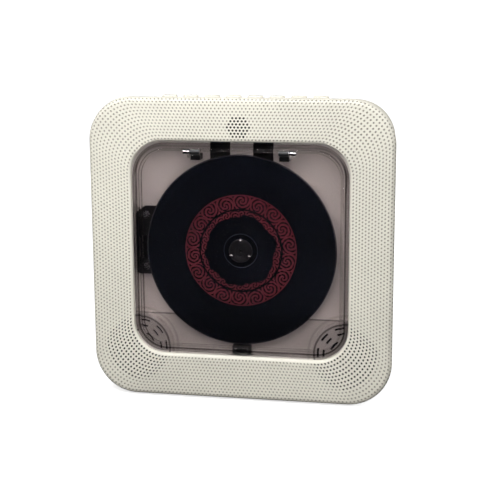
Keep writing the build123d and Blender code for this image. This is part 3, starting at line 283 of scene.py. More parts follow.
def front_place(tree):
    """How far a place lies to the right of the disc's middle and above it, in millimetres."""
    across, _, upward = split(tree, object_place(tree))
    return across * (1 / MM), upward * (1 / MM) - CENTRE_Z


def noise(tree, vector, scale, detail=2.0):
    """Cloudy noise over a vector."""
    inputs = {"Vector": vector, "Scale": scale, "Detail": detail}
    return read(add_node(tree, "ShaderNodeTexNoise", inputs, noise_dimensions="3D"), "Fac")


def cells(tree, vector, scale):
    """The distance to the nearest of many scattered points."""
    inputs = {"Vector": vector, "Scale": scale}
    return read(add_node(tree, "ShaderNodeTexVoronoi", inputs, feature="F1"), "Distance")


def mixed(factor, first, second):
    """One colour or another by a factor; a colour is a tuple or a socket."""
    node = add_node(factor.tree, "ShaderNodeMix", {"Factor": factor}, data_type="RGBA")
    sockets = [socket for socket in node.inputs if socket.type == "RGBA"]
    for socket, value in zip(sockets, (first, second)):
        put((*value, 1.0) if isinstance(value, tuple) else value, socket)
    return next(socket for socket in node.outputs if socket.type == "RGBA")


def shifted(colour, amount):
    """A colour made lighter or darker."""
    return tuple(min(1.0, max(0.0, value * amount)) for value in colour)


# Shared shader groups

def surface_group(name, inputs, outputs):
    """An empty shader group: its tree, its inputs as readings and its output sockets."""
    tree = bpy.data.node_groups.new(name, "ShaderNodeTree")
    for socket, default in inputs.items():
        item = tree.interface.new_socket(name=socket, in_out="INPUT", socket_type="NodeSocketFloat")
        item.default_value = default
    for socket in outputs:
        tree.interface.new_socket(name=socket, in_out="OUTPUT", socket_type="NodeSocketFloat")
    source = tree.nodes.new("NodeGroupInput")
    given = {socket: read(source, socket) for socket in inputs}
    return tree, given, tree.nodes.new("NodeGroupOutput").inputs


def moulded_grain_group():
    """Fine spark-eroded texture, slow shade changes and rubbed spots of a moulded surface."""
    tree, given, result = surface_group(
        "moulded_grain", {"Grain Scale": 2200.0, "Shade Scale": 22.0}, ("Grain", "Shade", "Rub"))
    place = object_place(tree)
    put(noise(tree, place, given["Grain Scale"], 3.0), result["Grain"])
    put(noise(tree, place, given["Shade Scale"], 4.0), result["Shade"])
    put(cells(tree, place, 160.0), result["Rub"])
    return tree


def drawn_metal_group():
    """Long fine lines of drawn, turned or rolled metal, and its stains."""
    tree, given, result = surface_group(
        "drawn_metal", {"Line Scale": 900.0, "Stretch": 30.0}, ("Lines", "Stain"))
    place = object_place(tree)
    drawn = add_node(tree, "ShaderNodeMapping", {
        "Vector": place, "Scale": join(tree, 1.0, 1.0, given["Stretch"])})
    put(noise(tree, drawn.outputs["Vector"], given["Line Scale"]), result["Lines"])
    put(noise(tree, place, 70.0), result["Stain"])
    return tree


def scroll_ring_group():
    """A band of curling scrolls between two radii, as a mask."""
    tree, given, result = surface_group(
        "scroll_ring", {"Inner": 27.0, "Outer": 35.0, "Motifs": 11.0, "Curl": 2.1, "Turn": 0.0},
        ("Mask", "Radius", "Angle"))
    sway, petal_share, petal_slope, soft = 0.9, 0.35, 1.7, 0.1
    across, upward = front_place(tree)
    radius = diagonal(across, upward)
    angle = upward.math("ARCTAN2", across)
    middle = (given["Inner"] + given["Outer"]) * 0.5
    turned = angle + given["Turn"]
    cell = turned * (given["Motifs"] / (2 * pi))
    whole = cell.math("ROUND")
    odd = whole.math("PINGPONG", 1.0) * 2.0 - 1.0
    along = (cell - whole) * (middle * (2 * pi) / given["Motifs"])
    out = radius - middle - odd * sway
    bend = out.math("ARCTAN2", along) * odd
    curl = (diagonal(along, out) * given["Curl"] + bend * 2.0).math("SINE")
    petals = (turned * (given["Motifs"] * 3.0) + radius * petal_slope).math("SINE")
    drawn = (curl + petals * petal_share).spread(-0.55, -0.15)
    inside = (radius - given["Inner"]).spread(-soft, soft)
    outside = (given["Outer"] - radius).spread(-soft, soft)
    put(drawn * (inside * outside), result["Mask"])
    put(radius, result["Radius"])
    put(angle, result["Angle"])
    return tree


def rim_distance_group():
    """How far a place lies inside a rounded rectangle seen from the front, in millimetres."""
    tree, given, result = surface_group(
        "rim_distance", {"Half Width": 67.5, "Half Height": 66.75, "Radius": 19.5, "Middle": 0.35},
        ("Inset",))
    across, upward = front_place(tree)
    past_x = abs(across) - (given["Half Width"] - given["Radius"])
    past_z = abs(upward - given["Middle"]) - (given["Half Height"] - given["Radius"])
    corner = diagonal(past_x.math("MAXIMUM", 0.0), past_z.math("MAXIMUM", 0.0))
    side = past_x.math("MAXIMUM", past_z).math("MINIMUM", 0.0)
    put(given["Radius"] - (corner + side), result["Inset"])
    return tree


def speaker_distance_group():
    """How far a place lies from the nearer speaker's axis, in millimetres."""
    tree, given, result = surface_group("speaker_distance", {"Side": 66.4, "Height": -64.3}, ("Radius",))
    across, upward = front_place(tree)
    put(diagonal(abs(across) - given["Side"], upward - given["Height"]), result["Radius"])
    return tree


def place_group(tree, maker, **values):
    """A shared shader group, made once, and placed in a material with its own values."""
    group = bpy.data.node_groups.get(maker.__name__.removesuffix("_group")) or maker()
    node = add_node(tree, "ShaderNodeGroup", node_tree=group)
    fill(node, **values)
    return node


# Materials

def bare_material(name):
    """A material with its tree and its Principled shader."""
    material = bpy.data.materials.new(name)
    material.use_nodes = True
    return material, material.node_tree, material.node_tree.nodes["Principled BSDF"]


def dress(shader, tint, roughness, height, depth, strength=1.0, **others):
    """Give a shader its tint, roughness and more, and a height that raises the surface by some metres."""
    bump = add_node(shader.id_data, "ShaderNodeBump", {
        "Height": height, "Distance": depth, "Strength": strength})
    fill(shader, Base_Color=tint, Roughness=roughness, Normal=bump.outputs["Normal"], **others)


def moulded_material(name, colour, rough=(0.42, 0.58), grain=2200.0, depth=0.00002, specular=0.45):
    """Moulded plastic or rubber with a fine texture."""
    material, tree, shader = bare_material(name)
    group = place_group(tree, moulded_grain_group, Grain_Scale=grain, Shade_Scale=24.0)
    tint = mixed(read(group, "Shade").spread(0.35, 0.65), shifted(colour, 0.95), shifted(colour, 1.025))
    dress(shader, tint, read(group, "Rub").spread(0.0, 0.7, *rough), read(group, "Grain"), depth,
          Specular_IOR_Level=specular)
    return material


def deck_material(name, colour):
    """The deck and its grilles: moulded, with painted shade in the joints round each speaker."""
    cup_radius, ring_radius = 20.1, 24.2
    material = moulded_material(name, colour, rough=(0.48, 0.62))
    tree = material.node_tree
    tint_socket = tree.nodes["Principled BSDF"].inputs["Base Color"]
    plain = tint_socket.links[0].from_socket
    radius = read(place_group(tree, speaker_distance_group), "Radius")
    # Two dark rings round each speaker: painted shade in the gaps at the grille's cup and just beyond it.
    tint = mixed(radius.line(cup_radius, 0.45, 0.8) * 0.75, plain, shifted(colour, 0.12))
    put(mixed(radius.line(ring_radius, 0.3, 1.0) * 0.3, tint, shifted(colour, 0.3)), tint_socket)
    return material


def metal_material(name, colour, rough=(0.22, 0.38), lines=900.0, stretch=24.0):
    """Plated, turned or pressed metal with fine lines."""
    material, tree, shader = bare_material(name)
    group = place_group(tree, drawn_metal_group, Line_Scale=lines, Stretch=stretch)
    tint = mixed(read(group, "Stain").spread(0.3, 0.7), shifted(colour, 0.88), colour)
    line = read(group, "Lines")
    dress(shader, tint, line.spread(0.3, 0.7, *rough), line, 0.000006, Metallic=1.0)
    return material


def board_material(name):
    """Circuit board: solder mask with copper tracks and pads under it."""
    material, tree, shader = bare_material(name)
    place = object_place(tree)
    tracks = add_node(tree, "ShaderNodeTexBrick", {
        "Vector": place, "Scale": 140.0, "Mortar Size": 0.045, "Color1": (0.012, 0.085, 0.035, 1),
        "Color2": (0.016, 0.11, 0.045, 1), "Mortar": (0.05, 0.22, 0.08, 1)})
    solder = cells(tree, place, 260.0).spread(0.16, 0.19, 1.0, 0.0)
    tint = mixed(solder, tracks.outputs["Color"], (0.62, 0.60, 0.55))
    dress(shader, tint, solder.spread(0.0, 1.0, 0.34, 0.2), read(tracks, "Fac"), 0.00003, Metallic=solder)
    return material


def paper_material(name):
    """Pressed black paper with fibres."""
    material, tree, shader = bare_material(name)
    fibres = noise(tree, object_place(tree), 1500.0, 5.0)
    tint = mixed(fibres, (0.008, 0.008, 0.009), (0.035, 0.035, 0.036))
    dress(shader, tint, fibres.spread(0.3, 0.7, 0.75, 0.95), fibres, 0.00008)
    return material


def clear_material(name, colour, index=1.49, edges=None):
    """Clear tinted moulding with slight ripple; a function may paint shade along its edges."""
    material, tree, shader = bare_material(name)
    group = place_group(tree, moulded_grain_group, Grain_Scale=40.0, Shade_Scale=8.0)
    shade = read(group, "Shade")
    tint = mixed(shade.spread(0.3, 0.7), shifted(colour, 0.985), colour)
    # The edge function paints shade into the tint.
    if edges is not None:
        tint = edges(tree, tint, colour)
    dress(shader, tint, shade.spread(0.3, 0.7, 0.0, 0.03), read(group, "Grain"), 0.00001, 0.3,
          Transmission_Weight=1.0, IOR=index)
    return material


def lid_edges(tree, tint, colour):
    """The lid's tint, darkened with painted shade at and below its crease and along its edge, most of all at
    the sides; the edge shade fades near the top, where the light falls.
    """
    front, _, _ = settings()
    wall_inset, lip_inset = 2.15, 4.4
    _, upward = front_place(tree)
    height = upward - front.crease_height
    rim = read(place_group(tree, rim_distance_group), "Inset")
    away_from_top = upward.spread(50.0, 62.0, 1.0, 0.25)
    below = height.spread(-0.3, 0.3, 0.8, 0.0)
    crease = abs(height).spread(0.25, 0.5, 1.0, 0.0)
    band = rim.spread(2.2, 2.8, 1.0, 0.0) * away_from_top * 0.6
    wall = rim.line(wall_inset, 0.35, 0.75) * away_from_top
    lip = rim.line(lip_inset, 0.15, 0.4) * 0.6
    # Each mask paints shade into the lid's tint.
    for mask, darkness in ((below, 0.8), (crease, 0.45), (band, 0.6), (wall, 0.3), (lip, 0.45)):
        tint = mixed(mask, tint, shifted(colour, darkness))
    return tint


def disc_material(name, ground, ring):
    """The disc's printed face, its rim and its mirror back."""
    torn_radius, printed_edge, hub_ring, rim_radius, face_depth = 19.6, 34.9, 10.6, 59.25, 8.1
    material, tree, shader = bare_material(name)
    wide = place_group(tree, scroll_ring_group, Inner=26.4, Outer=34.6, Motifs=18.0, Curl=2.9, Turn=0.2)
    narrow = place_group(tree, scroll_ring_group, Inner=19.0, Outer=25.4, Motifs=28.0, Curl=3.6, Turn=0.05)
    radius = read(wide, "Radius")
    place = object_place(tree)
    tatter = noise(tree, place, 210.0, 4.0)
    edge = (read(wide, "Angle") * 6.0).math("SINE") * 0.7 + tatter * 5.0
    torn = (radius - (edge + torn_radius)).spread(-0.25, 0.25)
    ink = read(wide, "Mask").math("MAXIMUM", read(narrow, "Mask") * torn)
    ink = ink.math("MAXIMUM", radius.line(printed_edge, 0.28, 0.4))
    faded = ink * tatter.spread(0.2, 0.6, 0.72, 1.0)
    face = mixed(faded, ground, ring)
    face = mixed(abs(radius - hub_ring).spread(0.12, 0.22, 0.5, 0.0), face, (0.10, 0.11, 0.13))
    # Light grey at the rim: the clear edge's own grey together with a painted highlight along it.
    face = mixed(radius.spread(rim_radius, rim_radius + 0.15), face, (0.09, 0.09, 0.10))
    _, depth, _ = split(tree, place)
    behind = depth.math("GREATER_THAN", (FRONT_Y + face_depth) * MM)
    face = mixed(behind, face, (0.72, 0.73, 0.76))
    dress(shader, face, tatter.spread(0.3, 0.7, 0.20, 0.27), faded, 0.00001,
          Metallic=behind, Specular_IOR_Level=0.4)
    return material


def finish_materials():
    """Every finish by the record's slot, and the two painted-shade finishes inside the front's dimples and
    holes.
    """
    _, finish, _ = settings()
    cream, dimple, tray = tuple(finish.cream), tuple(finish.dimple), tuple(finish.tray)
    black, smoke = tuple(finish.black), tuple(finish.smoke)
    # Near black: painted shade deep in the sound and signal holes.
    painted_hole_shade = shifted(dimple, 0.05)
    pad_black, plate_black = (0.010, 0.010, 0.011), (0.010, 0.010, 0.012)
    return {
        "cream": moulded_material("cream_moulding", cream, rough=(0.48, 0.62), specular=0.35),
        # The dimple finish paints the shade inside the shallow dimples.
        "dimple": moulded_material("dimple_shade", dimple, rough=(0.6, 0.75), specular=0.2),
        "bore": moulded_material("sound_hole_dark", painted_hole_shade, rough=(0.8, 0.9), specular=0.1),
        "tray": deck_material("tray_moulding", tray),
        "smoke": clear_material("smoke_lid", smoke, edges=lid_edges),
        "black": moulded_material("black_moulding", black, rough=(0.36, 0.5)),
        "grille": deck_material("grille_moulding", shifted(tray, 0.9)),
        "basket": moulded_material("black_basket", (0.02, 0.02, 0.022), rough=(0.4, 0.55), grain=900.0),
        "paper": paper_material("black_paper"),
        "magnet": moulded_material("dark_ferrite", (0.03, 0.03, 0.033), rough=(0.55, 0.75), grain=1400.0),
        "plate": moulded_material("black_plate", plate_black, rough=(0.34, 0.46), grain=1600.0),
        "damper": moulded_material("black_rubber", (0.015, 0.015, 0.015), rough=(0.7, 0.85)),
        "can": metal_material("zinc_can", (0.62, 0.62, 0.63), stretch=4.0),
        "steel": metal_material("ground_steel", (0.72, 0.72, 0.73), rough=(0.10, 0.2)),
        "pad": moulded_material("black_pad", pad_black, rough=(0.62, 0.8), grain=1200.0, depth=0.00006),
        "board": board_material("green_board"),
        "switch": moulded_material("switch_black", (0.02, 0.02, 0.022), rough=(0.3, 0.42)),
        "receiver": moulded_material(
            "receiver_window", (0.01, 0.004, 0.006), rough=(0.08, 0.14), specular=0.6),
        "socket": moulded_material("socket_black", (0.018, 0.018, 0.02), rough=(0.34, 0.46)),
        "shell": metal_material("plated_shell", (0.70, 0.70, 0.71), rough=(0.16, 0.26), lines=600.0),
        "foot": moulded_material("grey_rubber", (0.30, 0.29, 0.27), rough=(0.72, 0.86)),
        "screw": metal_material("plated_screw", (0.55, 0.55, 0.56), (0.2, 0.34), lines=1500.0, stretch=1.0),
        "disc": disc_material("printed_disc", tuple(finish.disc), tuple(finish.crimson)),
        "lens": clear_material("blue_lens", (0.45, 0.60, 0.95), index=1.6),
        "gear": moulded_material("natural_gear", (0.80, 0.78, 0.72), rough=(0.35, 0.48)),
        "button": moulded_material("button_cream", shifted(cream, 0.97), rough=(0.44, 0.56)),
    }


# Pieces and the bodies that carry them

def add_piece(name, mesh, material=None):
    """A new object at the origin."""
    piece = bpy.data.objects.new(name, mesh)
    bpy.context.scene.collection.objects.link(piece)
    if material is not None and not mesh.materials:
        mesh.materials.append(material)
    return piece


def mesh_from(name, points, faces):
    """A smooth mesh from points in metres."""
    mesh = bpy.data.meshes.new(name)
    mesh.from_pydata(np.asarray(points).tolist(), [], [list(face) for face in faces])
    mesh.update()
    mesh.shade_smooth()
    return mesh


def smooth_within(mesh, degrees):
    """Shade a mesh smooth up to an angle between its faces."""
    mesh.shade_smooth()
    mesh.set_sharp_from_angle(angle=radians(degrees))


def baked(piece):
    """The evaluated mesh of an object."""
    graph = bpy.context.evaluated_depsgraph_get()
    return bpy.data.meshes.new_from_object(piece.evaluated_get(graph), depsgraph=graph)


def merged_node(node):
    """A node's mesh to work on, its doubles merged."""
    work = bmesh.new()
    work.from_mesh(NODES[node].data)
    bmesh.ops.remove_doubles(work, verts=work.verts, dist=MERGE_DISTANCE)
    return work


def mesh_of(work, name):
    """A new mesh from finished work."""
    mesh = bpy.data.meshes.new(name)
    work.to_mesh(mesh)
    work.free()
    return mesh


def body_of_node(node):
    """The body that a node rides on."""
    for body, names in frame["record"]["behaviour"]["bodies"].items():
        if node in names:
            return body
    raise RuntimeError(f"no body holds {node}")


def slot_of_node(node):
    """The record's finish for a node."""
    for item in frame["record"]["subparts"]:
        if item["node"] == node:
            return item["material_slot"]
    raise RuntimeError(f"no finish for {node}")


def rounded_piece(node, width, angle=35.0, flat_angle=0.8):
    """A node's shape again with its edges rounded, in its place."""
    work = merged_node(node)
    bmesh.ops.dissolve_limit(
        work, angle_limit=radians(flat_angle), verts=work.verts, edges=work.edges, delimit={"NORMAL"})
    mesh = mesh_of(work, f"{node}_rounded")
    smooth_within(mesh, angle)
    piece = add_piece(f"{node}_finished", mesh, MATERIALS[slot_of_node(node)])
    bevel = piece.modifiers.new("edges", "BEVEL")
    bevel.width = width * MM
    bevel.segments = 2
    bevel.limit_method = "ANGLE"
    bevel.angle_limit = radians(angle)
    normals = piece.modifiers.new("normals", "WEIGHTED_NORMAL")
    normals.keep_sharp = True
    finished = baked(piece)
    piece.modifiers.clear()
    piece.data = finished
    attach(piece, body_of_node(node))
    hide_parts(node)


# Geometry trees for what repeats

def begin_node_tree(name, sizes, objects=()):
    """A geometry tree with its named inputs, and its first nodes."""
    tree = bpy.data.node_groups.new(name, "GeometryNodeTree")
    kinds = [("Geometry", "Geometry"), *((label, "Float") for label in sizes),
             *((label, "Object") for label in objects), ("Finish", "Material")]
    for label, kind in kinds:
        item = tree.interface.new_socket(name=label, in_out="INPUT", socket_type=f"NodeSocket{kind}")
        if label in sizes:
            item.default_value = sizes[label]
    tree.interface.new_socket(name="Geometry", in_out="OUTPUT", socket_type="NodeSocketGeometry")
    return tree, tree.nodes.new("NodeGroupInput"), tree.nodes.new("NodeGroupOutput")


def copies_at_points(tree, given, result, shape):
    """A shape at each point, its Z where the point faces, made real and given its finish."""
    facing = add_node(tree, "GeometryNodeInputNamedAttribute", {"Name": "facing"}, data_type="FLOAT_VECTOR")
    align = add_node(
        tree, "FunctionNodeAlignRotationToVector", {"Vector": facing.outputs["Attribute"]}, axis="Z")
    copies = add_node(tree, "GeometryNodeInstanceOnPoints", {
        "Points": given.outputs["Geometry"], "Instance": shape, "Rotation": align.outputs["Rotation"]})
    realize = add_node(tree, "GeometryNodeRealizeInstances", {"Geometry": copies.outputs["Instances"]})
    finish = add_node(tree, "GeometryNodeSetMaterial", {
        "Geometry": realize.outputs["Geometry"], "Material": given.outputs["Finish"]})
    put(finish.outputs["Geometry"], result.inputs["Geometry"])
    return copies


def cup_tree():
    """Round cups set into a surface, one at each point."""
    tree, given, result = begin_node_tree(
        "pits_in_a_surface", {"Mouth Radius": 0.0006, "Pit Depth": 0.0004, "Sink": 0.00004})
    mouth, depth, sink = (read(given, label) for label in ("Mouth Radius", "Pit Depth", "Sink"))
    cone = add_node(tree, "GeometryNodeMeshCone", {
        "Vertices": 8, "Side Segments": 2, "Radius Top": 0.0, "Radius Bottom": mouth, "Depth": depth},
        fill_type="NONE")
    across, upward, _ = split(tree, add_node(tree, "GeometryNodeInputPosition").outputs["Position"])
    share = diagonal(across, upward) / mouth
    low = (share * share - 1.0) * depth - sink
    bowl = add_node(tree, "GeometryNodeSetPosition", {
        "Geometry": cone.outputs["Mesh"], "Position": join(tree, across, upward, low)})
    smooth = add_node(tree, "GeometryNodeSetShadeSmooth", {"Geometry": bowl.outputs["Geometry"]})
    copies_at_points(tree, given, result, smooth.outputs["Geometry"])
    return tree


def screw_tree():
    """Copies of one screw, one at each point."""
    tree, given, result = begin_node_tree("copies_at_points", {"Size": 1.0}, objects=("Piece",))
    source = add_node(
        tree, "GeometryNodeObjectInfo", {"Object": given.outputs["Piece"]}, transform_space="ORIGINAL")
    copies = copies_at_points(tree, given, result, source.outputs["Geometry"])
    fill(copies, Scale=given.outputs["Size"])
    return tree


def repeated_piece(name, places, facings, tree, **values):
    """A piece from a geometry tree run on loose points, each with the direction that it faces."""
    mesh = bpy.data.meshes.new(name)
    mesh.from_pydata(np.asarray(places).tolist(), [], [])
    facing = mesh.attributes.new("facing", "FLOAT_VECTOR", "POINT")
    facing.data.foreach_set("vector", np.asarray(facings, float).reshape(-1))
    piece = add_piece(name, mesh)
    modifier = piece.modifiers.new("repeat", "NODES")
    modifier.node_group = tree
    names = {item.name: item.identifier for item in tree.interface.items_tree if item.in_out == "INPUT"}
    for label, value in values.items():
        modifier[names[label.replace("_", " ")]] = value
    finished = baked(piece)
    piece.modifiers.remove(modifier)
    piece.data = finished
    return piece


# The front

def outside_of(x, z, half_width, half_height, radius):
    """How far places lie outside a rounded rectangle."""
    past_x = np.abs(x) - (half_width - radius)
    past_z = np.abs(z) - (half_height - radius)
    past_corner = (past_x > 0) & (past_z > 0)
    return np.where(past_corner, np.hypot(past_x, past_z), np.maximum(past_x, past_z)) - radius


def in_metres(points):
    """Places given as x, depth and z turned into the object's frame."""
    points = np.asarray(points, float)
    return np.stack([points[..., 0], FRONT_Y + points[..., 1], CENTRE_Z + points[..., 2]], axis=-1) * MM


def zipper(first, second, start_first, start_second):
    """Triangles between two closed rows of points, given their shares of the way round."""
    faces = []
    a_count, b_count = len(first), len(second)
    a = b = 0
    while a < a_count or b < b_count:
        next_a = first[a + 1] if a + 1 < a_count else first[0] + 1.0
        next_b = second[b + 1] if b + 1 < b_count else second[0] + 1.0
        here, there = start_first + a % a_count, start_second + b % b_count
        if b >= b_count or (a < a_count and next_a <= next_b):
            faces.append((here, start_first + (a + 1) % a_count, there))
            a += 1
        else:
            faces.append((here, start_second + (b + 1) % b_count, there))
            b += 1
    return faces


class FrontShape:
    """Places on the dimpled front: rings t (0 at the window) and shares s of a ring's length."""

    def __init__(self, front):
        self.front = front
        self.crown_angle = asin((front.crest_inset - front.shoulder) / (front.crown - front.shoulder))
        self.shoulder_depth = front.crown - (front.crown - front.shoulder) * cos(self.crown_angle)
        self.crown_length = front.crown * self.crown_angle

    def side_inset(self, x, z):
        """How far places lie inside the front's outline."""
        front = self.front
        return -outside_of(x, z, front.half_width, front.half_width, front.corner)

    def window_reach(self, x, z):
        """How far places lie outside the window."""
        front = self.front
        return outside_of(
            x, z - front.window_rise, front.window_half_width, front.window_half_height, front.window_corner)

    def inset(self, reach):
        """Inset from the side for a length measured out over the surface from the crest."""
        front = self.front
        reach = np.asarray(reach, float)
        crown = front.crest_inset - front.crown * np.sin(np.clip(reach, 0, None) / front.crown)
        turn = self.crown_angle + (reach - self.crown_length) / front.shoulder
        shoulder = front.shoulder * (1 - np.sin(np.clip(turn, 0, pi / 2)))
        flat = front.crest_inset - reach
        return np.where(reach <= 0, flat, np.where(reach <= self.crown_length, crown, shoulder))

    def depth(self, x, z):
        """Depth of the outer surface at a place on the front."""
        front = self.front
        inset = self.side_inset(x, z)
        flat = front.crest_inset
        crown = front.crown - np.sqrt(front.crown ** 2 - np.clip(flat - inset, 0, flat) ** 2)
        near = np.clip(front.shoulder - inset, 0, front.shoulder)
        shoulder = self.shoulder_depth - np.sqrt(front.shoulder ** 2 - near ** 2)
        start = front.shoulder * (1 - sin(self.crown_angle))
        depth = np.where(inset >= flat, 0.0, np.where(inset >= start, crown, shoulder))
        roll = front.window_roll
        near = np.clip(roll - self.window_reach(x, z), 0, roll)
        return np.maximum(depth, roll - np.sqrt(roll ** 2 - near ** 2))

    def loop(self, wide, tall, radius, rise, share):
        """Places on a rounded rectangle, clockwise from its top middle."""
        wide, tall, radius, rise, share = np.broadcast_arrays(wide, tall, radius, rise, share)
        arc = radius * pi / 2
        flat_x, flat_z = wide - radius, tall - radius
        length = np.mod(share, 1.0) * (4 * flat_x + 4 * flat_z + 4 * arc)
        marks = np.stack([flat_x, arc, 2 * flat_z, arc, 2 * flat_x, arc, 2 * flat_z, arc, flat_x], axis=-1)
        ends = np.cumsum(marks, axis=-1)
        index = np.minimum((length[..., None] > ends).sum(axis=-1), 8)
        run = length - np.take_along_axis(ends - marks, index[..., None], axis=-1)[..., 0]
        turn = run / radius
        x = np.choose(index, [
            run, flat_x + radius * np.sin(turn), wide, flat_x + radius * np.cos(turn), flat_x - run,
            -flat_x - radius * np.sin(turn), -wide, -flat_x - radius * np.cos(turn), run - flat_x])
        z = np.choose(index, [
            tall, flat_z + radius * np.cos(turn), flat_z - run, -flat_z - radius * np.sin(turn), -tall,
            -flat_z - radius * np.cos(turn), run - flat_z, flat_z + radius * np.sin(turn), tall])
        return x, z + rise

    def ring_size(self, t):
        """Half width, half height and corner radius of ring t."""
        front = self.front
        wide = front.half_width - self.inset(front.ring_pitch * t - front.first_side)
        tall = front.half_width - self.inset(front.ring_pitch_up * t - front.first_top)
        return wide, tall, front.first_radius + front.radius_step * t

    def ring(self, t, share):
        """Places on ring t, as x, depth and z."""
        rise = self.front.ring_rise - self.front.ring_fall * t
        x, z = self.loop(*self.ring_size(t), rise, share)
        return np.stack([x, self.depth(x, z), z], axis=-1)

    def ring_length(self, t):
        """Length round ring t."""
        wide, tall, radius = self.ring_size(t)
        return 4 * (float(wide) + float(tall) - 2 * radius) + 2 * pi * radius

    def count(self, ring):
        """Dimples in a ring."""
        return 4 * (self.front.first_count + ring)

    def phase(self, ring):
        """Every other ring starts half a step on."""
        return 0.5 if ring % 2 else 0.0

    def hole_kind(self, ring, index, middle):
        """Whether a place in the pattern is a shallow dimple, a sound hole or a signal hole."""
        front = self.front
        count = self.count(ring)
        row = abs(ring - front.signal_row)
        offset = (index + self.phase(ring) + count / 2) % count - count / 2
        hair = 0.01
        if row <= front.signal_reach and abs(offset) <= front.signal_reach - row / 2 + hair:
            return "signal"
        near = np.hypot(abs(middle[0]) - front.speaker_x, middle[2] - front.speaker_z) <= front.speaker_reach
        return "bore" if near and middle[2] < 0 else "dimple"


class FrontSkin:
    """The front's outer surface, woven outwards row by row with an open mouth at each hole."""

    rim_share = 0.47  # from the middle of a ring's cells to their edges, as a share of the pitch
    nudge = 0.05  # the step, in millimetres, that the direction of the face is measured over

    def __init__(self, shape):
        self.shape = shape
        self.rows, self.faces, self.holes = [], [], []
        self.total = 0
        self.last_start = self.last_shares = None
        count = shape.count(0)
        self.plain_shares = np.arange(count) / count
        self.weave_window_edge()
        for ring in range(shape.front.rings):
            self.weave_ring(ring)
        self.weave_side()

    def add_points(self, row):
        """Keep more points, and tell the number of the first."""
        start = self.total
        self.rows.append(np.asarray(row, float))
        self.total += len(row)
        return start

    def weave(self, start, shares):
        """Join a closed row of points to the last one."""
        if self.last_shares is not None:
            self.faces += zipper(self.last_shares, shares, self.last_start, start)
        self.last_start, self.last_shares = start, shares

    def weave_loop(self, x, y, z):
        """Join a plain loop at the plain shares."""
        self.weave(self.add_points(np.stack([x, y, z], axis=-1)), self.plain_shares)

    def weave_window_edge(self):
        """The window's rolled edge, from its lip out to the face."""
        shape, front = self.shape, self.shape.front
        for out, depth in ((0.0, front.lip_depth), (0.0, front.window_roll), (0.05, None), (0.2, None),
                           (0.5, None)):
            x, z = shape.loop(front.window_half_width + out, front.window_half_height + out,
                              front.window_corner + out, front.window_rise, self.plain_shares)
            y = shape.depth(x, z) if depth is None else np.full_like(x, depth)
            self.weave_loop(x, y, z)

    def weave_ring(self, ring):
        """One ring of square cells, each with an eight-sided mouth."""
        shape, front = self.shape, self.shape.front
        count, phase = shape.count(ring), shape.phase(ring)
        side_shares = (np.arange(count) + phase - 0.5) / count
        centres = (np.arange(count) + phase) / count
        inner = self.add_points(shape.ring(np.full(count, ring - self.rim_share), side_shares))
        self.weave(inner, side_shares)
        outer = self.add_points(shape.ring(np.full(count, ring + self.rim_share), side_shares))
        self.last_start = outer
        middle = shape.ring(np.full(count, float(ring)), centres)
        kinds = [shape.hole_kind(ring, index, middle[index]) for index in range(count)]
        radii = {"dimple": front.dimple_radius, "bore": front.bore_radius, "signal": front.signal_radius}
        radius = np.array([radii[kind] for kind in kinds])[:, None]
        angles = np.arange(8) * pi / 4
        length = shape.ring_length(ring)
        mouth_share = centres[:, None] + radius * np.cos(angles)[None, :] / length
        mouth_ring = ring + radius * np.sin(angles)[None, :] / front.ring_pitch
        mouth = self.add_points(shape.ring(mouth_ring, mouth_share).reshape(-1, 3))
        for index in range(count):
            after = (index + 1) % count
            hole = [mouth + index * 8 + k for k in range(8)]
            corners = [outer + after, outer + index, inner + index, inner + after]
            for corner, vertex in enumerate(corners):
                at = 2 * corner
                self.faces.append((hole[at], vertex, hole[at + 1]))
                self.faces.append((hole[at + 1], vertex, hole[(at + 2) % 8]))
            for corner in range(4):
                self.faces.append((corners[corner - 1], corners[corner], hole[2 * corner]))
        along = shape.ring(np.full(count, float(ring)), centres + self.nudge / length) - middle
        across = shape.ring(np.full(count, ring + self.nudge / front.ring_pitch), centres) - middle
        facing = np.cross(along, across)
        facing /= np.linalg.norm(facing, axis=-1, keepdims=True)
        facing *= -np.sign(facing[:, 1:2])
        self.holes += list(zip(kinds, middle, facing))

    def weave_side(self):
        """The side from the rounded edge to the joint with the rear shell."""
        shape, front = self.shape, self.shape.front
        for inset, depth in ((0.0, shape.shoulder_depth), (front.tail_inset, front.tail_depth)):
            half = front.half_width - inset
            x, z = shape.loop(half, half, front.corner - inset, 0.0, self.plain_shares)
            self.weave_loop(x, np.full_like(x, depth), z)

    def mesh(self, name):
        """The skin as a mesh."""
        return mesh_from(name, in_metres(np.concatenate(self.rows)), self.faces)


